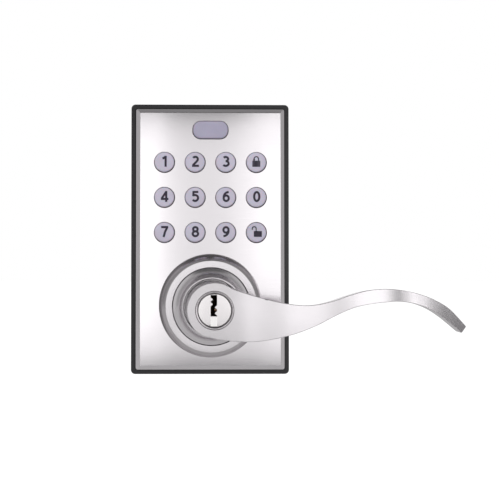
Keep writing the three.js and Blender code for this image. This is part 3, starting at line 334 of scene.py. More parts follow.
def satin_metal(name, colour, roughness, grain, depth, anisotropy=0.0, turned_on_lathe=False):
    """Metal with fine brushing. The grain is the size of one mark in mm across the door, out of it and up.
    On a turned piece the marks run round the axis, and the grain is radial, round and out."""
    made, tree = empty_material(name)
    place = node(tree, "ShaderNodeTexCoord").outputs["Object"]
    if turned_on_lathe:
        part = node(tree, "ShaderNodeSeparateXYZ", {"Vector": place}).outputs
        flat = node(tree, "ShaderNodeCombineXYZ", {"X": part["X"], "Y": part["Z"]})
        reach = node(tree, "ShaderNodeVectorMath", {0: flat}, operation="LENGTH")
        marks_at = node(tree, "ShaderNodeCombineXYZ", {"X": reach, "Z": part["Y"]})
    else:
        marks_at = place
    marks_scale = node(tree, "ShaderNodeMapping", {
        "Vector": marks_at, "Scale": [1000 / size for size in grain]})
    marks = node(tree, "ShaderNodeTexNoise", {
        "Vector": marks_scale, "Scale": 1.0, "Detail": 3.0, "Roughness": 0.6})
    wear = node(tree, "ShaderNodeTexNoise", {"Vector": place, "Scale": 45.0, "Detail": 2.0})
    gloss = node(tree, "ShaderNodeMapRange", {
        "Value": wear, "From Min": 0.3, "From Max": 0.7,
        "To Min": roughness * 0.9, "To Max": roughness * 1.1})
    tint = node(tree, "ShaderNodeMapRange", {
        "Value": marks, "From Min": 0.3, "From Max": 0.7, "To Min": 0.96, "To Max": 1.0})
    shade = node(tree, "ShaderNodeVectorMath", {0: srgb(colour)[:3], "Scale": tint}, operation="SCALE")
    relief = node(tree, "ShaderNodeBump", {"Height": marks, "Strength": 1.0, "Distance": depth * 0.001})
    surface = node(tree, "ShaderNodeBsdfPrincipled", {
        "Base Color": shade, "Metallic": 1.0, "Roughness": gloss,
        "Anisotropic": anisotropy, "Normal": relief})
    if anisotropy:
        laid = node(tree, "ShaderNodeUVMap", uv_map="brushing")
        tree.links.new(laid.outputs["UV"], marks_scale.inputs["Vector"])
        spread = node(tree, "ShaderNodeTangent", direction_type="UV_MAP", uv_map="brushing")
        tree.links.new(spread.outputs["Tangent"], surface.inputs["Tangent"])
    node(tree, "ShaderNodeOutputMaterial", {"Surface": surface})
    return made


def use(piece, body, slot, *nodes):
    """Sends a finished piece with its CAD body, and lets it stand for its CAD nodes."""
    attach(piece, body)
    if nodes:
        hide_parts(*nodes)


# Satin nickel, plated and brushed across the plate: fine level streaks over soft bands of mirrored light.
# Real strokes are about 0.05 mm apart. They are drawn 0.35 mm apart, so that they show.
brushed_nickel = satin_metal("satin_nickel_brushed", "#e9e5e8", 0.135, (12, 12, 0.35), 0.0003)
plate_width, plate_height, plate_up = 70.6, 123.6, 31.4
plate_front, plate_back, skirt_back = 24.0, 22.0, 19.5
edge_line = [
    (0, skirt_back), (0, 22.2), (0.05, 22.36), (0.2, 22.52), (1.84, 23.86), (1.94, 23.95), (2.1, plate_front)]
cover = stack("satin_faceplate", [
    (outline(plate_width - 2 * inset, plate_height - 2 * inset, max(1.0 - inset, 0.2), 0, plate_up), out)
    for inset, out in edge_line], brushed_nickel)
wall = 1.2
shape(cover, block(
    "plate_hollow", outline(plate_width - 2 * wall, plate_height - 2 * wall, 1.0, 0, plate_up),
    15, plate_back, brushed_nickel))
boss_places = [(32.6 * side, plate_up + 59.1 * end) for side in (-1, 1) for end in (-1, 1)]
shape(cover, together("plate_bosses", [
    bar("boss", 2.6, 12.3, 22.4, brushed_nickel, x, up) for x, up in boss_places]), "UNION")


def on_circle(radius, turn):
    """A point, as (x, up), on a circle round the handle's axis, at an angle in degrees."""
    return radius * math.cos(math.radians(turn)), radius * math.sin(math.radians(turn))


def hole(x, up, radius, back, front, edge=0.16):
    """A round cutter that rolls the front edge of its hole."""
    return turned("hole", [
        (0, back), (radius, back), (radius, front - edge), (radius + 0.3 * edge, front - 0.3 * edge),
        (radius + edge, front + 0.01), (radius + edge, front + 1), (0, front + 1)], brushed_nickel, x, up)


key_columns = [-21.75, -7.25, 7.25, 21.75]
key_rows = [67.6, 51.0, 34.4]
wake_up = 83.0
cutters = [hole(x, up, 4.9, 15, plate_front, 0.2) for x in key_columns for up in key_rows]
cutters.append(stack("wake_hole", [
    (outline(16.96 + 2 * more, 8.64 + 2 * more, 3.9 + more, 0, wake_up, 12), out)
    for more, out in ((0, 15), (0, 23.8), (0.06, 23.94), (0.2, 24.01), (0.2, 25))], brushed_nickel))
cutters.append(hole(0, 0, 18.2, 15, plate_front))
screw_circle, screw_hole = 21.2, 1.8
rose_screw_places = [on_circle(screw_circle, turn) for turn in (30, 150, 270)]
cutters += [bar("hole", screw_hole, 15, 25, brushed_nickel, x, up) for x, up in rose_screw_places]
cutters += [bar("hole", screw_hole, 12, 18.6, brushed_nickel, x, up) for x, up in boss_places]
shape(cover, together("plate_cutters", cutters))
smooth(cover, 30)
use(cover, "housing", "satin_nickel", "faceplate")


# Rose: a cast zinc ring with a rolled flank and a flat front, satin nickel like the plate.
# It covers the screws of the handle's bearing and is held by three screws from behind.

def coat(piece, finish, chosen):
    """Gives another finish to the faces whose middles, as x, up and out in mm, pass a test."""
    piece.data.materials.append(finish)
    for face in piece.data.polygons:
        if chosen(face.center.x * 1000, face.center.z * 1000, -face.center.y * 1000):
            face.material_index = len(piece.data.materials) - 1


# Satin nickel on a turned face: faint rings round the axis, drawn 0.4 mm apart so that they show.
turned_nickel = satin_metal(
    "satin_nickel_turned", "#e9e5e8", 0.25, (0.4, 8, 0.4), 0.0003, turned_on_lathe=True)
rose_front = 33.0
flank = [(24.3, 25.4), (24.2, 26.4), (23.95, 27.8), (23.65, 28.9), (23.3, 29.95), (22.9, 30.85),
         (22.45, 31.6), (22.0, 32.18), (21.6, 32.6), (21.35, 32.82)]
rose = turned("rolled_rose", [(18.1, 24.3), (24.3, 24.3), *flank, (21.15, rose_front), (18.34, rose_front),
                              (18.17, 32.93), (18.1, 32.76)], turned_nickel, sides=160)
shape(rose, together("rose_holes", [
    bar("hole", screw_hole, 23, 28.6, turned_nickel, x, up) for x, up in rose_screw_places]))
smooth(rose, 40)
# The flank gets painted shade: the same nickel in a darker colour, standing in for the dim room that the
# flank mirrors.
flank_nickel_painted_shade = satin_metal("satin_nickel_flank_painted_shade", "#cfcacd", 0.25, (0.4, 8, 0.4), 0.0003, turned_on_lathe=True)
flank_starts = 21.4
coat(rose, flank_nickel_painted_shade, lambda x, up, out: math.hypot(x, up) > flank_starts)
use(rose, "housing", "satin_nickel", "rose_ring")


# Bearing collar: a turned and plated brass flange that the handle's tube turns in.
# Its conical nose stands inside the rose and ends in a thin bright rim.

bore_radius, bore_floor = 12.8, 30.4
nose = [(17.95, 32.2), (17.88, 32.8), (17.72, 33.0), (16.95, 33.46), (16.2, 34.05), (15.55, 34.8),
        (15.0, 35.7), (14.55, 36.7), (14.22, 37.7), (14.02, 38.5)]
collar = turned("flared_collar", [
    (10.1, 19.7), (24.2, 19.7), (24.2, 21.7), (17.95, 21.7), *nose, (13.92, 38.8), (13.76, 38.95),
    (13.55, 39.0), (13.12, 39.0), (12.94, 38.92), (12.83, 38.75), (bore_radius, 38.5),
    (bore_radius, bore_floor), (10.1, bore_floor)], turned_nickel, sides=160)
collar_holes = [bar("hole", screw_hole, 19, 22.5, turned_nickel, x, up) for x, up in rose_screw_places]
collar_holes.append(block("motor_flat", outline(60, 10, 0.5, 0, 22.2), 19, 21.85, turned_nickel))
shape(collar, together("collar_cutters", collar_holes))
smooth(collar, 40)
# Brass under a film of old grease, nearly black with a dull gleam. The black is also painted shade, down in
# the narrow gap round the handle's neck.
grease_and_painted_shade = satin_metal("brass_dark_grease_and_painted_shade", "#3a3634", 0.5, (0.3, 4, 0.3), 0.001, turned_on_lathe=True)
# Painted shade: the collar's bore, down in the gap round the neck, gets the nearly black brass.
coat(collar, grease_and_painted_shade, lambda x, up, out: math.hypot(x, up) < bore_radius + 0.02 and out > bore_floor + 0.1)
use(collar, "housing", "satin_nickel", "bearing_collar")


# Lever: one zinc casting, a round hub that flows into a waved blade, ground and brushed along its length.
# It is pinned to the drive tube and keeps the key cylinder in its bore with a grub screw.

def rounded(corners, steps=4):
    """A profile whose corners, given as (radius, out, rounding), become small curves."""
    line = []
    for before, corner, after in zip(corners[-1:] + corners[:-1], corners, corners[1:] + corners[:1]):
        here = Vector(corner[:2])
        if len(corner) == 2:
            line.append(here)
            continue
        start = here + (Vector(before[:2]) - here).normalized() * corner[2]
        end = here + (Vector(after[:2]) - here).normalized() * corner[2]
        for step in range(steps + 1):
            along = step / steps
            line.append(start.lerp(here, along).lerp(here.lerp(end, along), along))
    return [(point.x, point.y) for point in line]


def curve_through(points, steps=8):
    """A smooth line through the points."""
    ends = [2 * points[0] - points[1], *points, 2 * points[-1] - points[-2]]
    line = []
    for a, b, c, d in zip(ends, ends[1:], ends[2:], ends[3:]):
        for step in range(steps):
            t = step / steps
            line.append(0.5 * (2 * b + (c - a) * t + (2 * a - 5 * b + 4 * c - d) * t * t
                               + (3 * b - a - 3 * c + d) * t * t * t))
    return [*line, points[-1]]


# Satin nickel, ground along the blade: highlights that stretch across the strokes, drawn 0.3 mm apart.
lever_nickel = satin_metal("satin_nickel_lever", "#e9e5e8", 0.18, (0.3, 16, 1), 0.0005, anisotropy=0.9)
hub_radius = 12.1
lever_front = 62.0
blade_top = [(9, 9), (20.5, 5.5), (32, 2.9), (42.5, 2.2), (51.5, 3.8), (59.5, 6.4), (67.5, 8.5),
             (75.5, 9.2), (83.5, 8.6), (91.5, 6.9), (99, 4.1), (106, -0.1), (113.7, -7.9)]
blade_bottom = [(4.8, -13.1), (18.6, -13.6), (33, -11), (44.4, -7), (53.5, -2.5), (61.4, 0.75), (68.8, 2.4),
                (75.6, 3.15), (82.6, 3.5), (89.6, 2.4), (96.4, 0), (103, -4.1), (111.4, -10.9)]
top_edge, bottom_edge = [
    curve_through([Vector(point) for point in [*[on_circle(hub_radius, turn) for turn in turns], *line]])[8:]
    for turns, line in (((72, 60), blade_top), ((-125, -110), blade_bottom))]
hub_arc = [Vector(on_circle(hub_radius, 60 + step * 190 / 76)) for step in range(1, 76)]
tip = []
for corner, before, after in (
        (bottom_edge[-1], bottom_edge[-2], top_edge[-1]), (top_edge[-1], bottom_edge[-1], top_edge[-2])):
    start = corner + (before - corner).normalized() * 0.5
    end = corner + (after - corner).normalized() * 0.5
    tip += [start.lerp(corner, step / 3).lerp(corner.lerp(end, step / 3), step / 3) for step in range(4)]
rim = [*reversed(top_edge[:-1]), *hub_arc, *bottom_edge[:-1], *tip]


def blade_front(x):
    """The blade's face curves back towards the door, 12 mm at its tip."""
    return lever_front - 12.0 * max(0.0, (x - 10) / 103.7) ** 1.6


def blade_depth(x):
    """The blade is 20 mm deep at the hub and 8 mm at its tip."""
    return 20.0 - 12.0 * max(0.0, min(1.0, (x - 1) / 111.6))


def rim_distance(point):
    """How far a point in the lever's face lies from its rim."""
    nearest = 1e9
    for start, end in zip(rim, rim[1:] + rim[:1]):
        side = end - start
        along = max(0.0, min(1.0, (point - start).dot(side) / side.length_squared))
        nearest = min(nearest, (point - start - side * along).length)
    return nearest


# Points for the lever's face: its rim, five steps of its rounded edge, and an even grid inside.
edge_radius = 0.28
edge_insets = [edge_radius * (1 - math.cos(math.radians(turn))) for turn in (12, 30, 48, 66, 90)]
points = list(rim)
count = len(rim)
loops = [[i, (i + 1) % count] for i in range(count)]
for inset in edge_insets:
    for i in range(count):
        side = (rim[(i + 1) % count] - rim[i - 1]).normalized()
        moved = rim[i] + Vector((-side.y, side.x)) * inset
        if rim_distance(moved) > inset * 0.97:
            points.append(moved)
grid_left, grid_right, grid_bottom, grid_top, spacing = -11.5, 113, -13.0, 12, 1.7
column = grid_left
while column < grid_right:
    row = grid_bottom
    while row < grid_top:
        point = Vector((column, row))
        if rim_distance(point) > edge_radius + 0.5:
            points.append(point)
        row += spacing
    column += spacing
flat_points, _, flat_faces, _, _, _ = delaunay_2d_cdt(points, [tuple(loop) for loop in loops], [], 1, 1e-4)


def lever_skin(point, front):
    """The distance out of the door of the lever's front or back skin, with its rounded edge."""
    gap = rim_distance(point)
    size = edge_radius if front else edge_radius * max(0.0, min(1.0, (point.x - 9) / 8))
    drop = 0.0
    if gap < size:
        drop = size - math.sqrt(max(0.0, size * size - (size - gap) ** 2))
    if front:
        return blade_front(point.x) - drop
    return blade_front(point.x) - blade_depth(point.x) + drop


def edge_height(line, x):
    """How high an edge of the blade runs at a distance from the axis."""
    for start, end in zip(line, line[1:]):
        if start.x <= x < end.x:
            return start.y + (end.y - start.y) * (x - start.x) / (end.x - start.x)
    return line[-1].y


def draft(point):
    """How far the back skin is drawn down from the upper edge, so that the casting leaves its mould."""
    top, bottom = edge_height(top_edge, point.x), edge_height(bottom_edge, point.x)
    share = max(0.0, min(1.0, (point.y - bottom) / max(1.0, top - bottom)))
    return 0.062 * blade_depth(point.x) * share * max(0.0, min(1.0, (point.x - 14) / 12))


skin_points = [spot(p.x, p.y, lever_skin(p, True)) for p in flat_points]
back_start = len(skin_points)
skin_points += [spot(p.x, p.y - draft(p), lever_skin(p, False)) for p in flat_points]
skin_faces = [list(face) for face in flat_faces]
skin_faces += [[back_start + i for i in reversed(face)] for face in flat_faces]
# An edge with a face on one side only belongs to the rim, where the side wall joins the two skins.
edge_use = {}
for face in flat_faces:
    for start, end in zip(face, list(face[1:]) + [face[0]]):
        edge_use.setdefault(frozenset((start, end)), []).append((start, end))
skin_faces += [
    [pair[0][0], pair[0][1], back_start + pair[0][1], back_start + pair[0][0]]
    for pair in edge_use.values() if len(pair) == 1]
handle = solid("cast_lever", skin_points, skin_faces, lever_nickel)
neck_radius = hub_radius - 0.03
neck = turned("hub_neck", rounded([
    (0, 33.0), (neck_radius, 33.0, 0.4), (neck_radius, 45.0), (0, 45.0)]), lever_nickel, sides=128)
shape(handle, neck, "UNION")
bore = turned("cylinder_bore", [
    (0, 30), (8.9, 30), (8.9, lever_front - 1.2), (8.5, lever_front - 0.9), (8.5, lever_front - 0.12),
    (8.54, lever_front - 0.04), (8.62, lever_front + 0.01), (8.62, 64), (0, 64)], lever_nickel, sides=128)
shape(handle, bore)
shape(handle, block("chamber_slot", outline(6.0, 12.0, 0.6, 0, 5.2), 30, 57.2, lever_nickel))


def cross_bar(name, radius, ends, finish, place, sides=48):
    """A round bar across the lock. Its place turns a distance along it and two across it into a point."""
    turns = [2 * math.pi * turn / sides for turn in range(sides)]
    points = [place(end, radius * math.cos(turn), radius * math.sin(turn)) for end in ends for turn in turns]
    faces = [list(range(sides)), list(range(sides, 2 * sides))]
    faces += [[i, (i + 1) % sides, sides + (i + 1) % sides, sides + i] for i in range(sides)]
    return solid(name, points, faces, finish)


for name, radius, hole_out in (("grub_hole", 2.3, 50.0), ("pin_hole", 1.5, 35.35)):
    shape(handle, cross_bar(
        name, radius, (8.0, 16.5), lever_nickel, lambda down, a, b: spot(a, -down, hole_out + b)))
smooth(handle, 32, flats=False)


def even_front(piece):
    """Gives the ground front one even shading, and lays the brushing along the blade."""
    mesh = piece.data
    normals = [Vector(corner.vector) for corner in mesh.corner_normals]
    middle = [Vector((-14.0, -2.0)), Vector((6.0, -2.0))]
    middle += [(Vector(top) + Vector(bottom)) / 2 for top, bottom in zip(blade_top[1:], blade_bottom[1:])]
    lengths = [0.0]
    for start, end in zip(middle, middle[1:]):
        lengths.append(lengths[-1] + (end - start).length)
    laid = []
    for vertex in mesh.vertices:
        x, out, up = vertex.co * 1000
        point = Vector((x, up))
        nearest = (1e9, 0.0, 0.0)
        for start, end, before in zip(middle, middle[1:], lengths):
            side = end - start
            along = max(0.0, min(1.0, (point - start).dot(side) / side.length_squared))
            away = point - start - side * along
            across = math.copysign(away.length, side.x * away.y - side.y * away.x)
            nearest = min(nearest, (away.length, across, before + along * side.length))
        laid.append(((nearest[1] - out) * 0.001, nearest[2] * 0.001))
    brushing = mesh.uv_layers.new(name="brushing")
    for face in mesh.polygons:
        for loop in face.loop_indices:
            co = mesh.vertices[mesh.loops[loop].vertex_index].co * 1000
            brushing.data[loop].uv = laid[mesh.loops[loop].vertex_index]
            if face.normal.y < -0.8 and abs(-co.y - blade_front(co.x)) < 0.004:
                slope = (blade_front(co.x + 0.1) - blade_front(co.x - 0.1)) / 0.2
                normals[loop] = Vector((-slope, -1.0, 0.0)).normalized()
    mesh.normals_split_custom_set(normals)


even_front(handle)
use(handle, "lever", "satin_nickel", "lever")


# Key cylinder: a plated brass shell with its chamber for the pins above, and a plug that turns in it.
# The keyway is cut for a dimple key, with wards on both sides and one brass side pin showing.

# Nickel in three states: clear and bright on the plug, duller where the shell is worn, and pale and smooth
# where the notch is milled. Inside the keyway the brass is nearly black: oil on it, and painted shade for the
# deep narrow slot.
bright_nickel = satin_metal(
    "bright_nickel_turned", "#f0eced", 0.2, (0.3, 6, 0.3), 0.0003, turned_on_lathe=True)
worn_nickel = satin_metal(
    "satin_nickel_worn", "#c9c4c7", 0.22, (0.3, 6, 0.3), 0.0003, turned_on_lathe=True)
notch_nickel = satin_metal("bright_nickel_milled", "#fbf9f8", 0.12, (0.3, 6, 0.3), 0.0002)
keyway_oil_and_painted_shade = satin_metal("brass_dark_oil_and_painted_shade", "#33291f", 0.5, (0.3, 0.3, 0.3), 0.001)
shell = turned("cylinder_shell_turned", [
    (7.45, 40.0), (8.6, 40.0), (8.6, 60.6), (8.4, 60.8), (8.4, 61.8), (8.34, 61.9), (8.2, 61.95),
    (7.62, 61.84), (7.5, 61.75), (7.45, 61.6)], worn_nickel, sides=128)
chamber = block("pin_chamber", outline(5.4, 8.9, 0.3, 0, 6.45), 40.0, 56.9, worn_nickel)
shape(chamber, bar("chamber_room", 7.9, 39, 58, worn_nickel, sides=128))
shape(shell, chamber, "UNION")
smooth(shell, 40)
use(shell, "lever", "bright_nickel", "cylinder_shell")

plug = turned("cylinder_plug_turned", [
    (0, 38.0), (5.9, 38.0), (5.9, 38.6), (5.2, 38.6), (5.2, 40.0), (5.9, 40.0), (5.9, 40.3), (7.25, 40.3),
    (7.25, 61.15), (7.19, 61.32), (7.05, 61.4), (0, 61.4)], bright_nickel, sides=128)
slot_left, slot_right = -1.75, 1.05
keyway = [
    (slot_right, -2.55), (slot_right, -2.1), (0.2, -1.43), (0.2, -0.98), (slot_right, -0.3),
    (slot_right, 0.45), (0.2, 1.12), (0.2, 1.58), (slot_right, 2.25), (slot_right, 6.75), (slot_left, 6.75),
    (slot_left, 5.7), (-0.9, 5.03), (-0.9, 4.58), (slot_left, 3.9), (slot_left, 3.6), (-0.9, 2.93),
    (-0.9, 2.48), (slot_left, 1.8), (slot_left, -2.55)]
slot_middle = (slot_left + slot_right) / 2
shape(plug, block("keyway", keyway, 45.4, 62, bright_nickel))
shape(plug, block("thumb_notch", outline(2.8, 3.95, 0.1, slot_middle, -4.875), 60.8, 62, bright_nickel))
shape(plug, block("tail_socket", outline(5.2, 2.1, 0.1), 37, 40.7, bright_nickel))


def beside_keyway(along, a, b):
    """A place on or round the side pin's axis, which points at the keyway."""
    return spot(along, 0.15 + b, 58.4 + a)


shape(plug, cross_bar("pin_bore", 1.2, (0.1, 8.5), bright_nickel, beside_keyway))
smooth(plug, 35)
# Painted shade: the faces inside the keyway get the nearly black brass.
coat(plug, keyway_oil_and_painted_shade, lambda x, up, out: (
    slot_left - 0.05 < x < slot_right + 0.05 and -2.6 < up < 6.8 and 45 < out < 61.3))
coat(plug, notch_nickel, lambda x, up, out: (
    abs(x - slot_middle) < 1.5 and -7 < up < -2.8 and 60.7 < out < 61.3))
use(plug, "plug", "bright_nickel", "cylinder_plug")

# Bare turned brass: warm yellow, with a soft gleam and no plating.
brass = satin_metal("turned_brass", "#d2ab88", 0.3, (0.3, 0.3, 0.3), 0.0003)
side_pin = cross_bar("brass_side_pin", 0.9, (0.1, 6.1), brass, beside_keyway)
smooth(side_pin, 35)
use(side_pin, "side_pin", "brass", "key_pin")


# Keys: twelve moulded caps of milky grey polycarbonate with a lower flange, each on its own silicone dome.
# The numbers and the two padlocks are printed on the face in a dark violet ink.

def moulded(name, colour, roughness, grain, depth, milkiness=0.0, rim_shade_colour=None):
    """Moulded plastic or rubber with a fine grain, given in mm. A rim shade colour, where given, is painted
    shade at a key's rounded rim.
    """
    made, tree = empty_material(name)
    place = node(tree, "ShaderNodeTexCoord").outputs["Object"]
    texture = node(tree, "ShaderNodeTexNoise", {"Vector": place, "Scale": 1000 / grain, "Detail": 2.0})
    cloud = node(tree, "ShaderNodeTexNoise", {"Vector": place, "Scale": 150.0, "Detail": 1.0})
    tint = node(tree, "ShaderNodeMapRange", {
        "Value": cloud, "From Min": 0.3, "From Max": 0.7, "To Min": 0.95, "To Max": 1.03})
    shade = node(tree, "ShaderNodeVectorMath", {0: srgb(colour)[:3], "Scale": tint}, operation="SCALE")
    # Painted shade: a key's rounded rim is darkened in its colour, as far as its rim attribute reaches.
    if rim_shade_colour:
        painted_rim_shade = node(tree, "ShaderNodeAttribute", attribute_name="painted_rim_shade").outputs["Fac"]
        shade = node(tree, "ShaderNodeMix", {0: painted_rim_shade, 6: shade, 7: srgb(rim_shade_colour)}, data_type="RGBA")
    gloss = node(tree, "ShaderNodeMapRange", {
        "Value": texture, "To Min": roughness * 0.92, "To Max": roughness * 1.08})
    relief = node(tree, "ShaderNodeBump", {"Height": texture, "Strength": 1.0, "Distance": depth * 0.001})
    surface = node(tree, "ShaderNodeBsdfPrincipled", {
        "Base Color": shade, "Roughness": gloss, "Normal": relief,
        "Subsurface Weight": milkiness, "Subsurface Scale": 0.001})
    node(tree, "ShaderNodeOutputMaterial", {"Surface": surface})
    return made


# Polycarbonate, moulded with a spark-eroded grain: milky, slightly violet, with painted shade darkening the
# rounded rim.
# The real grain is about 0.05 mm wide. It is drawn 0.25 mm wide, so that it shows.
key_plastic = moulded("polycarbonate_milky_grey", "#d7d1e3", 0.42, 0.25, 0.004, 0.15, "#b3adba")
# Pad print: a matt dark violet ink, and a paler half tone in the locked sign.
key_ink = moulded("violet_pad_print", "#352d40", 0.5, 0.2, 0.002)
key_half_tone = moulded("violet_half_tone_print", "#4b4455", 0.5, 0.2, 0.002)
key_front = 25.1
cap_profile = [
    (0, 18.9), (2.8, 18.9), (2.8, 20.7), (5.6, 20.7), (5.7, 20.8), (5.7, 21.6), (5.6, 21.7), (4.72, 21.7),
    (4.72, 24.3), (4.67, 24.52), (4.54, 24.74), (4.34, 24.91), (4.1, 25.01), (3.85, 25.04), (3.2, 25.07),
    (1.6, 25.09), (0, key_front)]


def paint_rim_shade(mesh, measure, start, end):
    """Writes how far each point is into a key's rim, where shade is painted into its colour."""
    tone = mesh.attributes.new("painted_rim_shade", "FLOAT", "POINT")
    for i, vertex in enumerate(mesh.vertices):
        tone.data[i].value = max(0.0, min(1.0, (measure(vertex.co) - start) / (end - start)))


cap = turned("key_cap", cap_profile, key_plastic, sides=64)
smooth(cap, 40, flats=False)
# Painted shade on the cap's rounded rim, from 4.4 to 4.64 mm out.
paint_rim_shade(cap.data, lambda co: math.hypot(co.x, co.z) * 1000, 4.4, 4.64)


def shape_tree(name, inputs):
    """A Geometry Nodes tree with named inputs, the inputs' identifiers, and their sockets."""
    tree = bpy.data.node_groups.new(name, "GeometryNodeTree")
    identifiers = {}
    for label, kind in inputs.items():
        given = tree.interface.new_socket(name=label, in_out="INPUT", socket_type="NodeSocket" + kind)
        identifiers[label] = given.identifier
    tree.interface.new_socket(name="Mesh", in_out="OUTPUT", socket_type="NodeSocketGeometry")
    return tree, identifiers, node(tree, "NodeGroupInput").outputs


def finish_tree(tree, geometry, finish):
    """Ends a tree in a real mesh with its material."""
    real = node(tree, "GeometryNodeRealizeInstances", {"Geometry": geometry})
    dressed = node(tree, "GeometryNodeSetMaterial", {"Geometry": real, "Material": finish})
    node(tree, "NodeGroupOutput", {"Mesh": dressed})


keypad, keypad_inputs, given = shape_tree("keypad_grid", {
    "Cap": "Object", "Width": "Float", "Height": "Float", "Middle": "Vector", "Columns": "Int", "Rows": "Int",
    "Key": "Int", "Plastic": "Material"})
grid = node(keypad, "GeometryNodeMeshGrid", {
    "Size X": given["Width"], "Size Y": given["Height"],
    "Vertices X": given["Columns"], "Vertices Y": given["Rows"]})
stood = node(keypad, "GeometryNodeTransform", {
    "Geometry": grid, "Rotation": (math.radians(90), 0, 0), "Translation": given["Middle"]})
chosen = node(keypad, "FunctionNodeCompare", {
    2: node(keypad, "GeometryNodeInputIndex"), 3: given["Key"]}, data_type="INT", operation="EQUAL")
proto = node(keypad, "GeometryNodeObjectInfo", {"Object": given["Cap"]})
copies = node(keypad, "GeometryNodeInstanceOnPoints", {
    "Points": stood, "Selection": chosen, "Instance": proto.outputs["Geometry"]})
finish_tree(keypad, copies, given["Plastic"])


def grown(name, tree, identifiers, sizes):
    """The plain mesh that a Geometry Nodes tree makes from its named inputs."""
    piece = in_scene(name, bpy.data.meshes.new(name))
    change = piece.modifiers.new("grow", "NODES")
    change.node_group = tree
    for label, value in sizes.items():
        change[identifiers[label]] = value
    return settle(piece)


def arc(x, up, wide, tall, start, end):
    """Points along part of an oval, from one angle to another in degrees."""
    steps = max(2, round(abs(end - start) / 11))
    turns = [math.radians(start + (end - start) * step / steps) for step in range(steps + 1)]
    return [(x + wide * math.cos(turn), up + tall * math.sin(turn)) for turn in turns]


def band(line, width, x, up, low, high, finish):
    """A raised strip of even width along a line of points. A line that ends where it starts is closed."""
    closed = math.dist(line[0], line[-1]) < 0.01
    middle = [Vector(point) for point in (line[:-1] if closed else line)]
    count = len(middle)
    points = []
    for i, here in enumerate(middle):
        before = middle[i - 1] if closed or i > 0 else 2 * here - middle[i + 1]
        after = middle[(i + 1) % count] if closed or i < count - 1 else 2 * here - before
        ahead = ((here - before).normalized() + (after - here).normalized()).normalized()
        reach = width / 2 / max(0.5, ahead.dot((after - here).normalized()))
        side = Vector((-ahead.y, ahead.x)) * reach
        points += [spot(x + at.x, up + at.y, out) for at, out in (
            (here + side, high), (here - side, high), (here - side, low), (here + side, low))]
    faces = []
    for i in range(count if closed else count - 1):
        here, there = 4 * i, 4 * ((i + 1) % count)
        faces += [[here + k, here + (k + 1) % 4, there + (k + 1) % 4, there + k] for k in range(4)]
    if not closed:
        faces += [[0, 1, 2, 3], [4 * count - 4 + k for k in range(4)]]
    return solid("band", points, faces, finish)


digit_lines = {
    "0": [arc(0, 0, 1.22, 2.12, 0, 360)],
    "1": [[(-1.05, 1.3), (-0.3, 1.62), (0.5, 2.28)], [(0.42, 2.58), (0.42, -2.58)]],
    "2": [[*arc(-0.03, 1.03, 1.17, 1.1, 150, -28), (0.35, -0.3), (-1.15, -1.85)],
          [(-1.6, -2.12), (1.65, -2.12)]],
    "3": [arc(-0.2, 1.12, 1.15, 1.0, 142, -90), arc(-0.22, -0.97, 1.42, 1.14, 90, -142)],
    "4": [[(0.72, 2.58), (0.72, -2.58)], [(-1.8, -1.2), (1.75, -1.2)], [(0.72, 2.2), (-1.45, -1.05)]],
    "5": [[(-1.1, 2.12), (1.35, 2.12)], [(-0.88, 2.5), (-1.0, 0.12)],
          arc(-0.15, -0.72, 1.4, 1.38, 132, -142)],
    "6": [arc(0.05, -0.82, 1.2, 1.3, 0, 360), arc(1.25, -0.45, 2.4, 2.55, 90, 176)],
    "7": [[(-1.65, 2.12), (1.65, 2.12)], [(1.3, 2.2), (0.2, -0.1), (-0.5, -2.58)]],
    "8": [arc(0, 1.12, 1.05, 1.0, 0, 360), arc(0, -1.0, 1.27, 1.13, 0, 360)],
    "9": [arc(-0.05, 0.82, 1.2, 1.3, 0, 360), arc(-1.25, 0.45, 2.4, 2.55, 270, 356)]}


stroke_width = 1.02
print_back, print_front = key_front - 0.1, key_front + 0.03


def printed_number(digit, x, up):
    """A plain digit about five millimetres high, as a thin print on its key."""
    strokes = [
        band(line, stroke_width, x, up, print_back, print_front, key_ink) for line in digit_lines[digit]]
    print_piece = strokes[0]
    for stroke in strokes[1:]:
        shape(print_piece, stroke, "UNION")
    print_piece.name = "digit_" + digit + "_print"
    return print_piece


def printed_padlock(name, x, up, opened):
    """A plain padlock sign. The opened one has its bow to the left with a short leg."""
    low, high = print_back, print_front
    if opened:
        body = block(name, outline(3.8, 2.75, 0.2, x + 0.6, up - 0.65), low, high, key_ink)
        bow_line = [(-2.0, 1.3), *arc(-1.1, 2.0, 0.9, 0.75, 180, 0), (-0.2, 0.2)]
    else:
        body = together(name, [
            block(name, outline(3.75, 2.9, 0.2, x - 0.1, up - 0.65), low, high, key_half_tone),
            block("core", outline(1.5, 2.9, 0.1, x - 0.3, up - 0.65), low, high + 0.01, key_ink)])
        bow_line = [(-1.15, 0.6), (-1.15, 1.55), *arc(-0.1, 1.55, 1.05, 1.15, 180, 0), (0.95, 0.6)]
    bow = band(bow_line, 0.5, x, up, low, high, key_ink)
    return together(name, [body, bow])


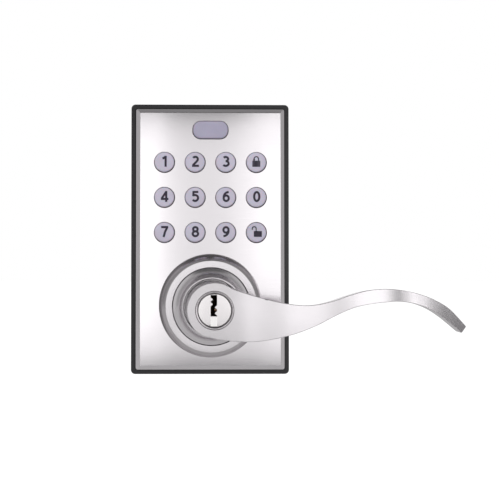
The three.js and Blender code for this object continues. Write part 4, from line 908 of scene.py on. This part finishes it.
# The caps stand a hair to the left of the middles of their holes, and above them.
cap_shift = 0.08
key_names = [["key_1", "key_2", "key_3", "key_lock"], ["key_4", "key_5", "key_6", "key_0"],
             ["key_7", "key_8", "key_9", "key_unlock"]]
for row, up in enumerate(key_rows):
    for column, x in enumerate(key_columns):
        name = key_names[row][column]
        key = grown(name + "_cap", keypad, keypad_inputs, {
            "Cap": cap, "Width": (key_columns[-1] - key_columns[0]) * 0.001,
            "Height": (key_rows[0] - key_rows[-1]) * 0.001,
            "Middle": (-cap_shift * 0.001, 0.0, (key_rows[1] + cap_shift) * 0.001),
            "Columns": len(key_columns), "Rows": len(key_rows),
            "Key": column * len(key_rows) + len(key_rows) - 1 - row, "Plastic": key_plastic})
        use(key, name, "key_plastic", name)
        if name == "key_lock":
            sign = printed_padlock("closed_padlock_print", x, up, False)
        elif name == "key_unlock":
            sign = printed_padlock("open_padlock_print", x, up, True)
        else:
            sign = printed_number(name[-1], x + 0.1, up + 0.42)
        use(sign, name, "black_component")
bpy.data.objects.remove(cap)


# Wake key: the wide key above the others, moulded in the same milky plastic, with nothing printed on it.
# It sits on its own silicone dome, is held in its hole by a lower flange, and wakes the keypad.

# The same plastic with more violet in it, and the same painted shade at its rounded rim.
wake_plastic = moulded("polycarbonate_violet_grey", "#bbb6cd", 0.42, 0.25, 0.004, 0.15, "#9b96a6")
wake_layers = [
    (1.0, 20.7), (1.0, 21.7), (-0.1, 21.7), (-0.1, 24.3), (-0.15, 24.54), (-0.3, 24.78), (-0.5, 24.95),
    (-0.85, 25.05), (-1.8, key_front)]
wake = stack("wake_key_cap", [
    (outline(16.8 + 2 * more, 8.5 + 2 * more, 3.8 + more, 0, wake_up, 12), out)
    for more, out in wake_layers], wake_plastic)
shape(wake, bar("wake_stem", 2.8, 18.9, 21.0, wake_plastic, 0, wake_up, 48), "UNION")
smooth(wake, 40, flats=False)


def wake_reach(co):
    """How far out a point of the wake key lies, where 4.7 is its edge."""
    far_x = max(0.0, abs(co.x * 1000) - 4.6)
    far_up = max(0.0, abs(co.z * 1000 - wake_up) - 0.45)
    return math.hypot(far_x, far_up) + 0.86


# Painted shade on the wake key's rounded rim.
paint_rim_shade(wake.data, wake_reach, 4.26, 4.5)
use(wake, "wake_key", "key_plastic", "wake_key")


# Key mat: one moulded sheet of silicone on the circuit board, with a hollow dome under each key.
# A dome buckles as its key goes in, and pushes the key out again.

# Silicone rubber, compression moulded: cloudy and dull, and light sinks a little way into it.
silicone = moulded("silicone_translucent", "#d9d6dc", 0.6, 0.4, 0.01, 0.2)
web_back, web_front, dome_front = 15.4, 16.2, 18.6
low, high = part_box("key_mat")
mat_width, mat_height, mat_up = (high.x - low.x) * 1000, (high.z - low.z) * 1000, (high.z + low.z) * 500
dome_places = {"wake_key": (0, wake_up)}
for names, up in zip(key_names, key_rows):
    dome_places.update({name: (x, up) for name, x in zip(names, key_columns)})
mat_edge = ((0.15, web_back), (0, web_back + 0.1), (0, web_front - 0.1), (0.15, web_front))
mat = stack("silicone_mat", [
    (outline(mat_width - 2 * inset, mat_height - 2 * inset, 2.0 - inset, 0, mat_up), out)
    for inset, out in mat_edge], silicone)
shape(mat, together("mat_holes", [
    bar("hole", 2.9, 15, 17, silicone, x, up) for x, up in dome_places.values()]))
smooth(mat, 50)
use(mat, "housing", "silicone", "key_mat")
for name, (x, up) in dome_places.items():
    dome = turned(name + "_dome", [
        (0, dome_front - 0.7), (2.1, dome_front - 0.8), (2.95, web_front - 0.6), (3.75, web_front - 0.6),
        (3.75, web_front), (3.55, web_front + 0.25), (3.1, dome_front - 0.35), (2.95, dome_front - 0.08),
        (2.75, dome_front), (0, dome_front)], silicone, x, up, 40)
    smooth(dome, 50)
    use(dome, "housing", "silicone")
    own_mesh(dome)


# Housing: a black powder-coated tray behind the faceplate. Its rim stands proud of the plate's chamfer.
# A black rubber gasket seals it to the door.

# Powder coat: deep black with a fine orange peel of about 0.5 mm. Nitrile rubber: dull and flat beside it.
black_coat = moulded("powder_coat_black", "#2a292c", 0.38, 0.5, 0.012)
black_rubber = moulded("nitrile_rubber_black", "#1b1b1d", 0.75, 0.3, 0.02)


def clean_copy(cad_node, name, finish, edge=0.0, outer_edge=None):
    """A copy of a CAD piece with its flats made whole and its edges eased by a width in mm.
    The outer edge is a width and a test that tells which edges get it."""
    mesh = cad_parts[cad_node].data.copy()
    tidy = bmesh.new()
    tidy.from_mesh(mesh)
    bmesh.ops.remove_doubles(tidy, verts=tidy.verts[:], dist=2e-6)
    bmesh.ops.dissolve_limit(tidy, angle_limit=math.radians(1), verts=tidy.verts[:], edges=tidy.edges[:])
    if outer_edge:
        width, chosen = outer_edge
        edges = [line for line in tidy.edges if all(chosen(corner.co * 1000) for corner in line.verts)]
        bmesh.ops.bevel(
            tidy, geom=edges, offset=width * 0.001, segments=5, profile=0.5, affect="EDGES",
            clamp_overlap=True)
    tidy.to_mesh(mesh)
    tidy.free()
    mesh.materials.clear()
    mesh.materials.append(finish)
    piece = in_scene(name, mesh)
    if edge:
        ease = piece.modifiers.new("ease", "BEVEL")
        ease.width = edge * 0.001
        ease.segments = 2
        ease.limit_method = "ANGLE"
        ease.angle_limit = math.radians(35)
        settle(piece)
    return smooth(piece, 50 if edge else 35)


def on_front_edge(co):
    """Whether a corner of the tray, in mm, lies on its front outer edge."""
    return co.y < -21.45 and (abs(co.x) > 37.3 or abs(co.z - plate_up) > 63.8)


tray = clean_copy("back_housing", "black_tray", black_coat, 0.2, (1.1, on_front_edge))
use(tray, "housing", "black_shell", "back_housing")
seal = clean_copy("gasket", "rubber_gasket", black_rubber, 0.2)
use(seal, "housing", "black_rubber", "gasket")


# Screws: slotted screws of zinc plated steel wire, with a headed blank and a rolled thread.
# Four hold the faceplate and three the rose from behind. Two hold the mounting plate and two the board.

# Zinc plate, passivated: a cool grey with soft mottling of about 1.5 mm.
zinc = satin_metal("zinc_plated_steel", "#b9bcc0", 0.38, (1.5, 1.5, 1.5), 0.002)
threaded, threaded_inputs, given = shape_tree("threaded_screw", {
    "Blank": "Object", "Coil Radius": "Float", "Ridge": "Float", "Turns": "Float", "Length": "Float",
    "Start": "Vector", "Crest": "Vector", "Facing": "Vector", "Place": "Vector", "Metal": "Material"})
coil = node(threaded, "GeometryNodeCurveSpiral", {
    "Resolution": 20, "Rotations": given["Turns"], "Start Radius": given["Coil Radius"],
    "End Radius": given["Coil Radius"], "Height": given["Length"]})
level_coil = node(threaded, "GeometryNodeSetCurveNormal", {"Curve": coil}, mode="Z_UP")
ridge_shape = node(threaded, "GeometryNodeCurvePrimitiveCircle", {"Resolution": 3, "Radius": given["Ridge"]})
ridge_turned = node(threaded, "GeometryNodeTransform", {"Geometry": ridge_shape, "Rotation": given["Crest"]})
ridge = node(threaded, "GeometryNodeCurveToMesh", {
    "Curve": level_coil, "Profile Curve": ridge_turned, "Fill Caps": True})
thread = node(threaded, "GeometryNodeTransform", {
    "Geometry": ridge, "Rotation": (math.radians(90), 0, 0), "Translation": given["Start"]})
blank = node(threaded, "GeometryNodeObjectInfo", {"Object": given["Blank"]})
whole = node(threaded, "GeometryNodeJoinGeometry", {"Geometry": thread})
threaded.links.new(blank.outputs["Geometry"], whole.inputs["Geometry"])
placed = node(threaded, "GeometryNodeTransform", {
    "Geometry": whole, "Rotation": given["Facing"], "Translation": given["Place"]})
finish_tree(threaded, placed, given["Metal"])


def threaded_piece(
        name, blank, major, ridge, pitch, start, length, metal,
        facing=(0, 0, 0), place=(0, 0, 0), inward=False):
    """A blank with a thread on it, or in its bore. The sizes are in millimetres."""
    return grown(name, threaded, threaded_inputs, {
        "Blank": blank, "Coil Radius": (major + ridge if inward else major - ridge) * 0.001,
        "Ridge": ridge * 0.001, "Turns": length / pitch, "Length": length * 0.001, "Start": spot(0, 0, start),
        "Crest": (0.0, 0.0, 0.0 if inward else math.pi), "Facing": [math.radians(angle) for angle in facing],
        "Place": place, "Metal": metal})


# The radius and height of the head, the radius of the thread, the size of its ridge, and its pitch.
small_screw, board_screw = (2.5, 1.6, 1.5, 0.26, 0.5), (1.8, 1.2, 1.0, 0.2, 0.4)
for group, (head_radius, head_height, major, ridge, pitch), head_in_front in (
        ("faceplate_screw_", small_screw, False), ("rose_screw_", small_screw, False),
        ("plate_screw_", small_screw, True), ("board_screw_", board_screw, True)):
    members = [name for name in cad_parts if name.startswith(group)]
    low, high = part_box(members[0])
    long, core = (high.y - low.y) * 1000, major - ridge * 1.1
    blank = turned("screw_blank", rounded([
        (0, 0), (head_radius, 0, 0.7), (head_radius, head_height, 0.15), (core, head_height),
        (core, long - 0.4), (core - 0.35, long), (0, long)]), zinc, sides=40)
    shape(blank, block("driver_slot", outline(0.8, 7, 0.05), -1, 0.6, zinc))
    smooth(blank, 35)
    for index, name in enumerate(members):
        low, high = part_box(name)
        place = Vector(((low.x + high.x) / 2, low.y if head_in_front else high.y, (low.z + high.z) / 2))
        screw = threaded_piece(
            name + "_slotted", blank, major, ridge, pitch, head_height + 0.5, long - head_height - 1.2, zinc,
            (0, 25 + 67 * index, 180 if head_in_front else 0), place)
        use(screw, "housing", "zinc_plated_steel", name)
    bpy.data.objects.remove(blank)

# Steel left oiled from the lathe: dark grey with a soft gleam.
dark_steel = satin_metal("oiled_steel", "#6c6b6e", 0.42, (1.0, 1.0, 1.0), 0.002)
grub_blank = turned("grub_blank", [
    (0, 0), (1.45, 0), (1.7, 0.3), (1.7, 2.7), (1.45, 3.0), (0, 3.0)], dark_steel, sides=40)
hexagon = [on_circle(1.1, 60 * corner) for corner in range(6)]
shape(grub_blank, block("hex_socket", hexagon, 1.6, 3.5, dark_steel))
smooth(grub_blank, 35)
grub = threaded_piece(
    "hex_grub_screw", grub_blank, 2.0, 0.32, 0.7, 0.45, 2.1, dark_steel, (90, 0, 0), spot(0, -8.9, 50))
bpy.data.objects.remove(grub_blank)
use(grub, "lever", "dark_steel", "lever_grub_screw")


# Mounting posts: turned steel studs, pressed through the mounting plate up to a flange.
# Each is tapped M5 from behind for a long bolt through the door.

post_blank = turned("post_blank", [
    (0, -6.0), (2.1, -6.0), (2.1, -7.0), (2.5, -7.2), (2.5, -21.6), (2.9, -22.0), (3.4, -22.0), (3.8, -21.5),
    (3.8, 6.1), (4.6, 6.1), (4.6, 6.85), (4.35, 7.1), (0, 7.1)], zinc, sides=64)
smooth(post_blank, 35)
for name in ("mounting_post_1", "mounting_post_2"):
    low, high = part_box(name)
    post = threaded_piece(
        name + "_tapped", post_blank, 2.1, 0.36, 0.8, -21.2, 13.8, zinc,
        place=((low.x + high.x) / 2, 0, 0), inward=True)
    use(post, "housing", "zinc_plated_steel", name)
bpy.data.objects.remove(post_blank)


# Spindle: a square steel bar with eased edges on a round journal and a disc with two slots for the clutch.
# The cylinder's flat tailpiece passes through it and is notched, so that it snaps off to suit the door.

spindle = stack("square_spindle", [
    (outline(8 - 2 * inset, 8 - 2 * inset, 0.5), out)
    for inset, out in ((0.55, -32.0), (0, -31.4), (0, 3.5))], zinc)
shape(spindle, bar("journal", 5.9, 3.2, 6.4, zinc, sides=64), "UNION")
shape(spindle, turned("clutch_disc", rounded([
    (0, 6.1), (13.0, 6.1, 0.25), (13.0, 7.9, 0.25), (0, 7.9)]), zinc, sides=96), "UNION")
spindle_cutters = [turned("tail_bore", [
    (0, -33), (3.15, -33), (3.15, -32), (2.8, -31.65), (2.8, 8.5), (0, 8.5)], zinc, sides=48)]
spindle_cutters += [
    block("dog_slot", outline(4.0, 4.0, 0.1, 12.1 * side), 5.5, 8.5, zinc) for side in (-1, 1)]
shape(spindle, together("spindle_cutters", spindle_cutters))
smooth(spindle, 35)
use(spindle, "spindle", "zinc_plated_steel", "spindle")

tail_line = [(0.2, -30.0), (0, -29.7)]
for notch in range(-26, 2, 5):
    tail_line += [(0, notch - 0.45), (0.25, notch), (0, notch + 0.45)]
tail = stack("notched_tailpiece", [
    (outline(4.6 - 2 * inset, 1.5 - 2 * inset, 0.15), out) for inset, out in [*tail_line, (0, 40.4)]], zinc)
smooth(tail, 25)
use(tail, "plug", "zinc_plated_steel", "tailpiece")


# Lead screw: a turned brass screw on the motor's shaft, with a pitch of 0.8 mm.
# It runs in the clutch fork's threaded eye and drives the fork along.

low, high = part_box("lead_screw")
lead_length = (high.y - low.y) * 1000
lead_blank = turned("lead_blank", [
    (0, 0), (0.7, 0), (0.86, 0.2), (0.86, lead_length), (0, lead_length)], brass, sides=32)
lead = threaded_piece(
    "lead_screw_cut", lead_blank, 1.2, 0.3, 0.8, 0.5, lead_length - 0.9, brass,
    place=((low.x + high.x) / 2, high.y, (low.z + high.z) / 2))
bpy.data.objects.remove(lead_blank)
use(lead, "lead_screw", "brass", "lead_screw")


# Mechanism: the plain steel and plastic pieces behind the plate keep their CAD shapes.
# Each gets the finish that such a piece has.

# Drawn spring steel is clean and grey. Solder mask is a half-glossy green, moulding epoxy a dull black,
# and nylon a waxy cream.
spring_steel = satin_metal("spring_steel", "#9a9b9e", 0.3, (0.4, 0.4, 0.4), 0.001)
board_mask = moulded("solder_mask_green", "#1f5a3a", 0.35, 0.8, 0.004)
epoxy = moulded("moulding_epoxy_black", "#19191c", 0.5, 0.2, 0.006)
nylon = moulded("nylon_cream", "#e9e4d8", 0.45, 0.5, 0.006)
plain_nodes = {
    zinc: ["mounting_plate", "motor_bracket", "spring_cassette", "spring_driver", "clutch_ring"],
    dark_steel: ["tube_pin", "clutch_fork", "drive_tube"],
    spring_steel: ["return_spring", "tube_retaining_ring", "plug_clip", "clutch_motor"],
    board_mask: ["circuit_board"],
    epoxy: ["processor", "buzzer", "capacitor"],
    nylon: ["cable_socket"]}
for finish, names in plain_nodes.items():
    for name in names:
        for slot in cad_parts[name].material_slots:
            slot.material = finish
